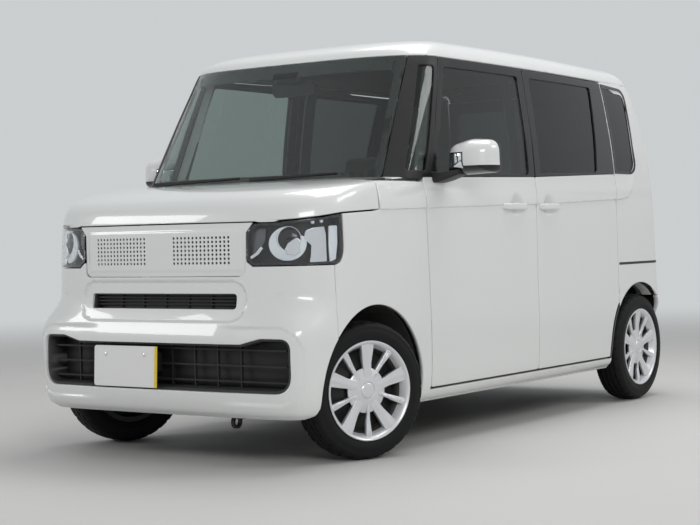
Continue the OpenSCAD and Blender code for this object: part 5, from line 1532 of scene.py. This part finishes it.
bpy.data.objects.remove(gear)
place(joined("dashboard_assembly", parts), "body", "cabin_plastic", "dashboard")

COLUMN_AXIS, COLUMN_AT = (-0.8988, 0, 0.4384), (532.5, -318, 960)
rim = lathe("rim", [(170 + 15 * cos(a), 13.5 * sin(a)) for a in np.linspace(0, 2 * pi, 20, endpoint=False)],
            [satin_black], 80)
boss = lathe("boss", [(0, -30), (46, -30), (58, -14), (62, 4), (56, 17), (40, 23), (0, 25)], [cabin_grey], 48)
shaft = lathe("shaft", [(0, -160), (11, -160), (11, -60), (24, -58), (24, -20), (0, -20)], [satin_black], 24)
arms = []
for angle in (0, 180, 270):
    c, s = cos(radians(angle)), sin(radians(angle))
    rings = []
    for r, half, z in ((48, 30, 4), (80, 24, 4), (120, 19, 1), (166, 17, 0)):
        b = bent_box(half, 8, 6, 5)
        rings.append(np.column_stack([r * c - b[:, 0] * s, r * s + b[:, 0] * c, z + b[:, 1]]))
    arms.append(loft("arm", rings, [satin_black], 40))
wheel = joined("wheel", [rim, boss, shaft, *arms])
steering = copied("steering_wheel_shell", wheel, COLUMN_AT, COLUMN_AXIS)
bpy.data.objects.remove(wheel)
place(steering, "steering", "cabin_plastic", "steering_wheel")
print("dashboard and steering wheel made")

# %% [markdown]
# Seats are foam under a sewn cover. Each pad starts as a rounded block a little smaller than the real one, is
# remeshed into even squares, and is blown up by Blender's cloth with pressure inside, which crowns the faces and
# pulls the sides in between the corners. How far a point may move is capped. The seams come after that: the
# cover is drawn in along the lines where it is sewn. Left and right pads are copies of one simulation.

# %% Stuffed pads
PAD_SWELL, PAD_CAP, SEAM_DEPTH, SEAM_WIDTH = 13.0, 24.0, 9.0, 8.0


def applied(piece):
    """The piece with its modifiers made into plain mesh."""
    evaluated = piece.evaluated_get(bpy.context.evaluated_depsgraph_get())
    mesh = bpy.data.meshes.new_from_object(evaluated)
    piece.modifiers.clear()
    piece.data = mesh
    return piece


def corners_of(mesh, kind="co"):
    values = np.empty(3 * len(mesh.vertices))
    (mesh.vertices if kind == "co" else mesh.vertex_normals).foreach_get("co" if kind == "co" else "vector", values)
    return values.reshape(-1, 3)


def pad(name, size, r, seams=(), main="z", voxel=11.0):
    """A stuffed pad round the origin. A seam is an axis and a share of the half size along it."""
    half_size = np.array(size, float) / 2 - PAD_SWELL
    work = bmesh.new()
    bmesh.ops.create_cube(work, size=2.0)
    bmesh.ops.subdivide_edges(work, edges=work.edges[:], cuts=12, use_grid_fill=True)
    box_points = np.array([v.co[:] for v in work.verts]) * half_size
    core = np.clip(box_points, -half_size + r, half_size - r)
    away = box_points - core
    away *= r / np.maximum(np.linalg.norm(away, axis=1), 1e-6)[:, None]
    for vert, at in zip(work.verts, (core + away) * 0.001):
        vert.co = at
    mesh = bpy.data.meshes.new(name)
    work.to_mesh(mesh)
    work.free()
    piece = bpy.data.objects.new(name, mesh)
    scene.collection.objects.link(piece)
    even = piece.modifiers.new("even", "REMESH")
    even.mode, even.voxel_size = "VOXEL", voxel * 0.001
    applied(piece)
    before = corners_of(piece.data)
    stuffing = piece.modifiers.new("stuffing", "CLOTH").settings
    stuffing.quality, stuffing.use_pressure, stuffing.uniform_pressure_force = 4, True, 4.0
    stuffing.effector_weights.gravity = 0.0
    for step in range(1, 21):
        scene.frame_set(step)
    applied(piece)
    moved = corners_of(piece.data) - before
    far = np.maximum(np.linalg.norm(moved, axis=1), 1e-9)
    moved *= np.minimum(1.0, PAD_CAP * 0.001 / far)[:, None]
    piece.data.vertices.foreach_set("co", (before + moved).ravel())
    scene.frame_set(1)
    finer = piece.modifiers.new("finer", "SUBSURF")
    finer.levels = finer.render_levels = 1
    applied(piece)
    points, normals = corners_of(piece.data), corners_of(piece.data, "normal")
    facing = np.clip((np.abs(normals[:, "xyz".index(main)]) - 0.35) / 0.3, 0, 1)
    for axis, share in seams:
        k = "xyz".index(axis)
        off = (points[:, k] * 1000 - share * size[k] / 2) / SEAM_WIDTH
        points -= normals * (SEAM_DEPTH * 0.001 * np.exp(-off ** 2) * facing)[:, None]
    piece.data.vertices.foreach_set("co", points.ravel())
    piece.data.polygons.foreach_set("use_smooth", [True] * len(piece.data.polygons))
    piece.data.materials.clear()
    piece.data.materials.append(seat_cloth)
    return piece


def set_down(name, source, centre, lean, fill, *replaced):
    """A copy of a pad, leaned back and put in its place in the car."""
    made = bpy.data.objects.new(name, source.data.copy())
    made.data.transform(Matrix.Translation(Vector(centre) * 0.001) @ Matrix.Rotation(radians(-lean), 4, "Y"))
    scene.collection.objects.link(made)
    place(made, "body", "seat_cloth", *replaced)


bolsters = (("y", -0.56), ("y", 0.56))
front_cushion = pad("front_cushion", (516, 492, 180), 52, (*bolsters, ("x", -0.45)))
front_back = pad("front_back", (126, 476, 606), 44, (*bolsters, ("z", 0.35)), "x")
front_rest = pad("front_rest", (96, 252, 180), 30, (), "x", 9.0)
bench = pad("bench", (492, 530, 154), 46, (*bolsters, ("x", -0.4)))
bench_back = pad("bench_back", (114, 524, 548), 40, (*bolsters, ("z", 0.4)), "x")
bench_rest = pad("bench_rest", (88, 232, 162), 28, (), "x", 9.0)
print("stuffed pads:",
      [len(p.data.polygons) for p in (front_cushion, front_back, front_rest, bench, bench_back, bench_rest)])

# %% [markdown]
# The front seats stand on rails and the rear bench on the floor. The backs lean, each headrest stands on two
# bright posts, and everything rides on the body, because the seats have no joint in this model.

# %% Seats
posts = lathe("post", [(0, 0), (6, 0), (6, 110), (0, 110)], [chrome], 16)
for name, side in SIDES:
    y = side * SEAT_Y
    set_down(f"front_cushion_{name}", front_cushion, (110, y, 492), -4, 0.75, f"front_seat_{name}")
    set_down(f"front_back_{name}", front_back, (-203, y, 866), 14, 0.75)
    set_down(f"front_headrest_{name}", front_rest, (-296, y, 1222), 14, 0.8)
    set_down(f"rear_cushion_{name}", bench, (-873, side * 269, 545), -3, 0.75,
             *(["rear_seat"] if side == 1 else []))
    set_down(f"rear_back_{name}", bench_back, (-1150, side * 266, 842), 16, 0.75)
    set_down(f"rear_headrest_{name}", bench_rest, (-1258, side * 290, 1162), 16, 0.8)
    frames = [copied("stem", posts, (-258, y + k * 60, 1100), (-0.242, 0, 0.97), upright=(0, 1, 0))
              for k in (-1, 1)]
    frames += [copied("stem", posts, (-1226, side * 290 + k * 55, 1060), (-0.276, 0, 0.96), upright=(0, 1, 0))
               for k in (-1, 1)]
    frames += [bars("rails", (440, 26, 34), 2, (80, y - 165, 282), (0, 330, 0), chassis),
               bars("rear_risers", (40, 22, 120), 2, (-80, y - 165, 356), (0, 330, 0), chassis),
               bars("front_risers", (40, 22, 110), 2, (240, y - 165, 351), (0, 330, 0), chassis)]
    place(joined(f"seat_frame_{name}", frames), "body", "chassis_steel")
for spare in (posts, front_cushion, front_back, front_rest, bench, bench_back, bench_rest):
    bpy.data.objects.remove(spare)
print("seats made")

# %% [markdown]
# A mirror and a dark housing for sensors hang behind the top of the windshield. They are small, but they show
# against the light of the rear windows.

# %% Mirror and sensors
def slab(label, centre, halves, r, lean, material):
    """A rounded slab, thin along its own X, leaning about Y."""
    rings = []
    for t, grow in ((-1, 0.94), (-0.7, 1), (0.7, 1), (1, 0.94)):
        b = bent_box(halves[1] * grow, halves[2] * grow, r, 6)
        x, z = t * halves[0] + 0 * b[:, 0], b[:, 1]
        c, s = cos(radians(lean)), sin(radians(lean))
        rings.append(np.column_stack([centre[0] + x * c + z * s, centre[1] + b[:, 0], centre[2] - x * s + z * c]))
    return loft(label, rings, [material], 40)


parts = [slab("inner_mirror", (692, -20, 1566), (13, 118, 34), 26, 8, satin_black),
         slab("inner_mirror_face", (678, -20, 1564), (1.5, 110, 28), 22, 8, chrome),
         slab("sensor_box", (752, 0, 1626), (24, 74, 42), 18, -32, satin_black),
         slab("mirror_arm", (718, -10, 1600), (26, 12, 14), 8, 30, satin_black)]
place(joined("inner_mirror_set", parts), "body", "cabin_plastic")
print("mirror and sensors made")

# %% [markdown]
# The studio is a pale floor, a large soft lamp overhead and three smaller ones round the car. White paint shows
# its form only by what it mirrors, so the lamps are long and narrow boxes with darker room between them.

# %% Studio
def softbox(name, at, aim, size, power):
    data = bpy.data.lights.new(name, "AREA")
    data.shape, data.size, data.size_y, data.energy = "RECTANGLE", *size, power
    lamp = bpy.data.objects.new(name, data)
    lamp.location = at
    lamp.rotation_euler = (Vector(aim) - Vector(at)).to_track_quat("-Z", "Y").to_euler()
    scene.collection.objects.link(lamp)


softbox("overhead", (-0.9, 0.4, 5.2), (-0.2, 0, 0.8), (4.4, 2.6), 150)
softbox("front_left", (5.6, 5.4, 3.4), (0.6, 0.2, 0.8), (3.4, 1.6), 132)
softbox("rear_left", (-3.0, 5.8, 4.8), (-0.4, 0.3, 0.9), (3.2, 1.6), 70)
softbox("front_right", (5.4, -4.6, 3.0), (0.9, -0.2, 0.8), (2.6, 1.4), 62)

BACKDROP_PALE = (0.60, 0.62, 0.63, 1)
HAZE_FROM, HAZE_TO = 4.0, 12.0
world = bpy.data.worlds.new("studio")
scene.world = world
world.use_nodes = True
tree = world.node_tree
ambient = tree.nodes["Background"]
ambient.inputs["Color"].default_value = (0.62, 0.64, 0.66, 1)
ambient.inputs["Strength"].default_value = 0.5
backdrop = add(tree, "ShaderNodeBackground", [("Color", BACKDROP_PALE), ("Strength", 1.0)])
rays = add(tree, "ShaderNodeLightPath")
seen = add(tree, "ShaderNodeMath", [(0, rays.outputs["Is Camera Ray"]), (1, rays.outputs["Is Glossy Ray"])],
           operation="MAXIMUM")
seen = add(tree, "ShaderNodeMath", [(0, seen.outputs[0]), (1, rays.outputs["Is Transmission Ray"])],
           operation="MAXIMUM")
choose = add(tree, "ShaderNodeMixShader", [(0, seen.outputs[0]), (1, ambient.outputs[0]), (2, backdrop.outputs[0])])
tree.links.new(choose.outputs[0], tree.nodes["World Output"].inputs["Surface"])

bpy.ops.mesh.primitive_plane_add(size=60, location=(0, 0, 0))
floor = bpy.context.object
floor.name = "studio_floor"
floor_pale = finish("floor_pale", (0.66, 0.65, 0.63), 0.6, film=0.2, film_colour=(0.58, 0.57, 0.56), grain=60.0,
                    bump=0.05)
tree = floor_pale.node_tree
spot = add(tree, "ShaderNodeTexCoord")
reach = add(tree, "ShaderNodeVectorMath", [(0, spot.outputs["Object"])], operation="LENGTH")
fade = add(tree, "ShaderNodeMapRange", [("Value", reach.outputs["Value"]), ("From Min", HAZE_FROM),
                                        ("From Max", HAZE_TO)],
           interpolation_type="SMOOTHSTEP")
haze = add(tree, "ShaderNodeEmission", [("Color", BACKDROP_PALE), ("Strength", 1.0)])
blended = add(tree, "ShaderNodeMixShader",
              [(0, fade.outputs["Result"]), (1, tree.nodes["Principled BSDF"].outputs[0]), (2, haze.outputs[0])])
tree.links.new(blended.outputs[0], tree.nodes["Material Output"].inputs["Surface"])
floor.data.materials.append(floor_pale)
print("lamps:", len(bpy.data.lights))

# %% [markdown]
# What stays as a solid keeps its shape and gets a finish: the floor, the wheel housings, hinges, axle,
# subframe and exhaust under the car, and the wipers.

# %% Finishes for the solids that stay
# How deep behind the skin the painted shade in the shut-line gaps ends and the inner trim starts, in metres
GAP_SHADE_DEPTH_M, TRIM_DEPTH_M = 0.032, 0.085
jamb_paint = finish("jamb_paint", (0.80, 0.81, 0.80), 0.36, film=0.05, grain=1400.0, bump=0.03)
tree = jamb_paint.node_tree
spot = add(tree, "ShaderNodeTexCoord")
axes = add(tree, "ShaderNodeSeparateXYZ", [(0, spot.outputs["Object"])])
out = add(tree, "ShaderNodeMath", [(0, axes.outputs["Y"])], operation="ABSOLUTE")
skin = add(tree, "ShaderNodeMapRange", [("Value", axes.outputs["Z"]), ("From Min", 1.15), ("From Max", 1.672),
                                        ("To Min", 0.729), ("To Max", 0.661)])
depth = add(tree, "ShaderNodeMath", [(0, skin.outputs["Result"]), (1, out.outputs[0])], operation="SUBTRACT")
# Side-frame faces within this depth of the skin are painted near-black: painted shade in the shut-line gaps, where
# the body-coloured jambs lie in shadow
gap_shade_mask = add(tree, "ShaderNodeMath", [(0, depth.outputs[0]), (1, GAP_SHADE_DEPTH_M)], operation="LESS_THAN")
inner = add(tree, "ShaderNodeMath", [(0, depth.outputs[0]), (1, TRIM_DEPTH_M)], operation="GREATER_THAN")
painted = tree.nodes["Principled BSDF"].inputs["Base Color"].links[0].from_socket
gap_shaded = add(tree, "ShaderNodeMix", [(0, gap_shade_mask.outputs[0]), (6, painted), (7, (0.012, 0.012, 0.013, 1))],
             data_type="RGBA")
trimmed = add(tree, "ShaderNodeMix", [(0, inner.outputs[0]), (6, gap_shaded.outputs[2]), (7, (0.16, 0.155, 0.15, 1))],
              data_type="RGBA")
tree.links.new(trimmed.outputs[2], tree.nodes["Principled BSDF"].inputs["Base Color"])
KEPT = {
    jamb_paint: ("side_frame_left", "side_frame_right"),
    chassis: ("floor_pan", "hinge_pins", "door_hinges_left", "door_hinges_right", "hood_hinges", "tailgate_hinges",
              "engine_block", "front_subframe", "rear_axle", "exhaust", "knuckle_left", "knuckle_right"),
    moulded_black: ("wheelhouses", "cowl_panel"),
    satin_black: ("wipers", "rear_wiper"),
}
for material, names in KEPT.items():
    for node in names:
        slots = nodes[node].data.materials
        slots.clear()
        slots.append(material)
print("solids with a finish of their own:", sum(len(names) for names in KEPT.values()))
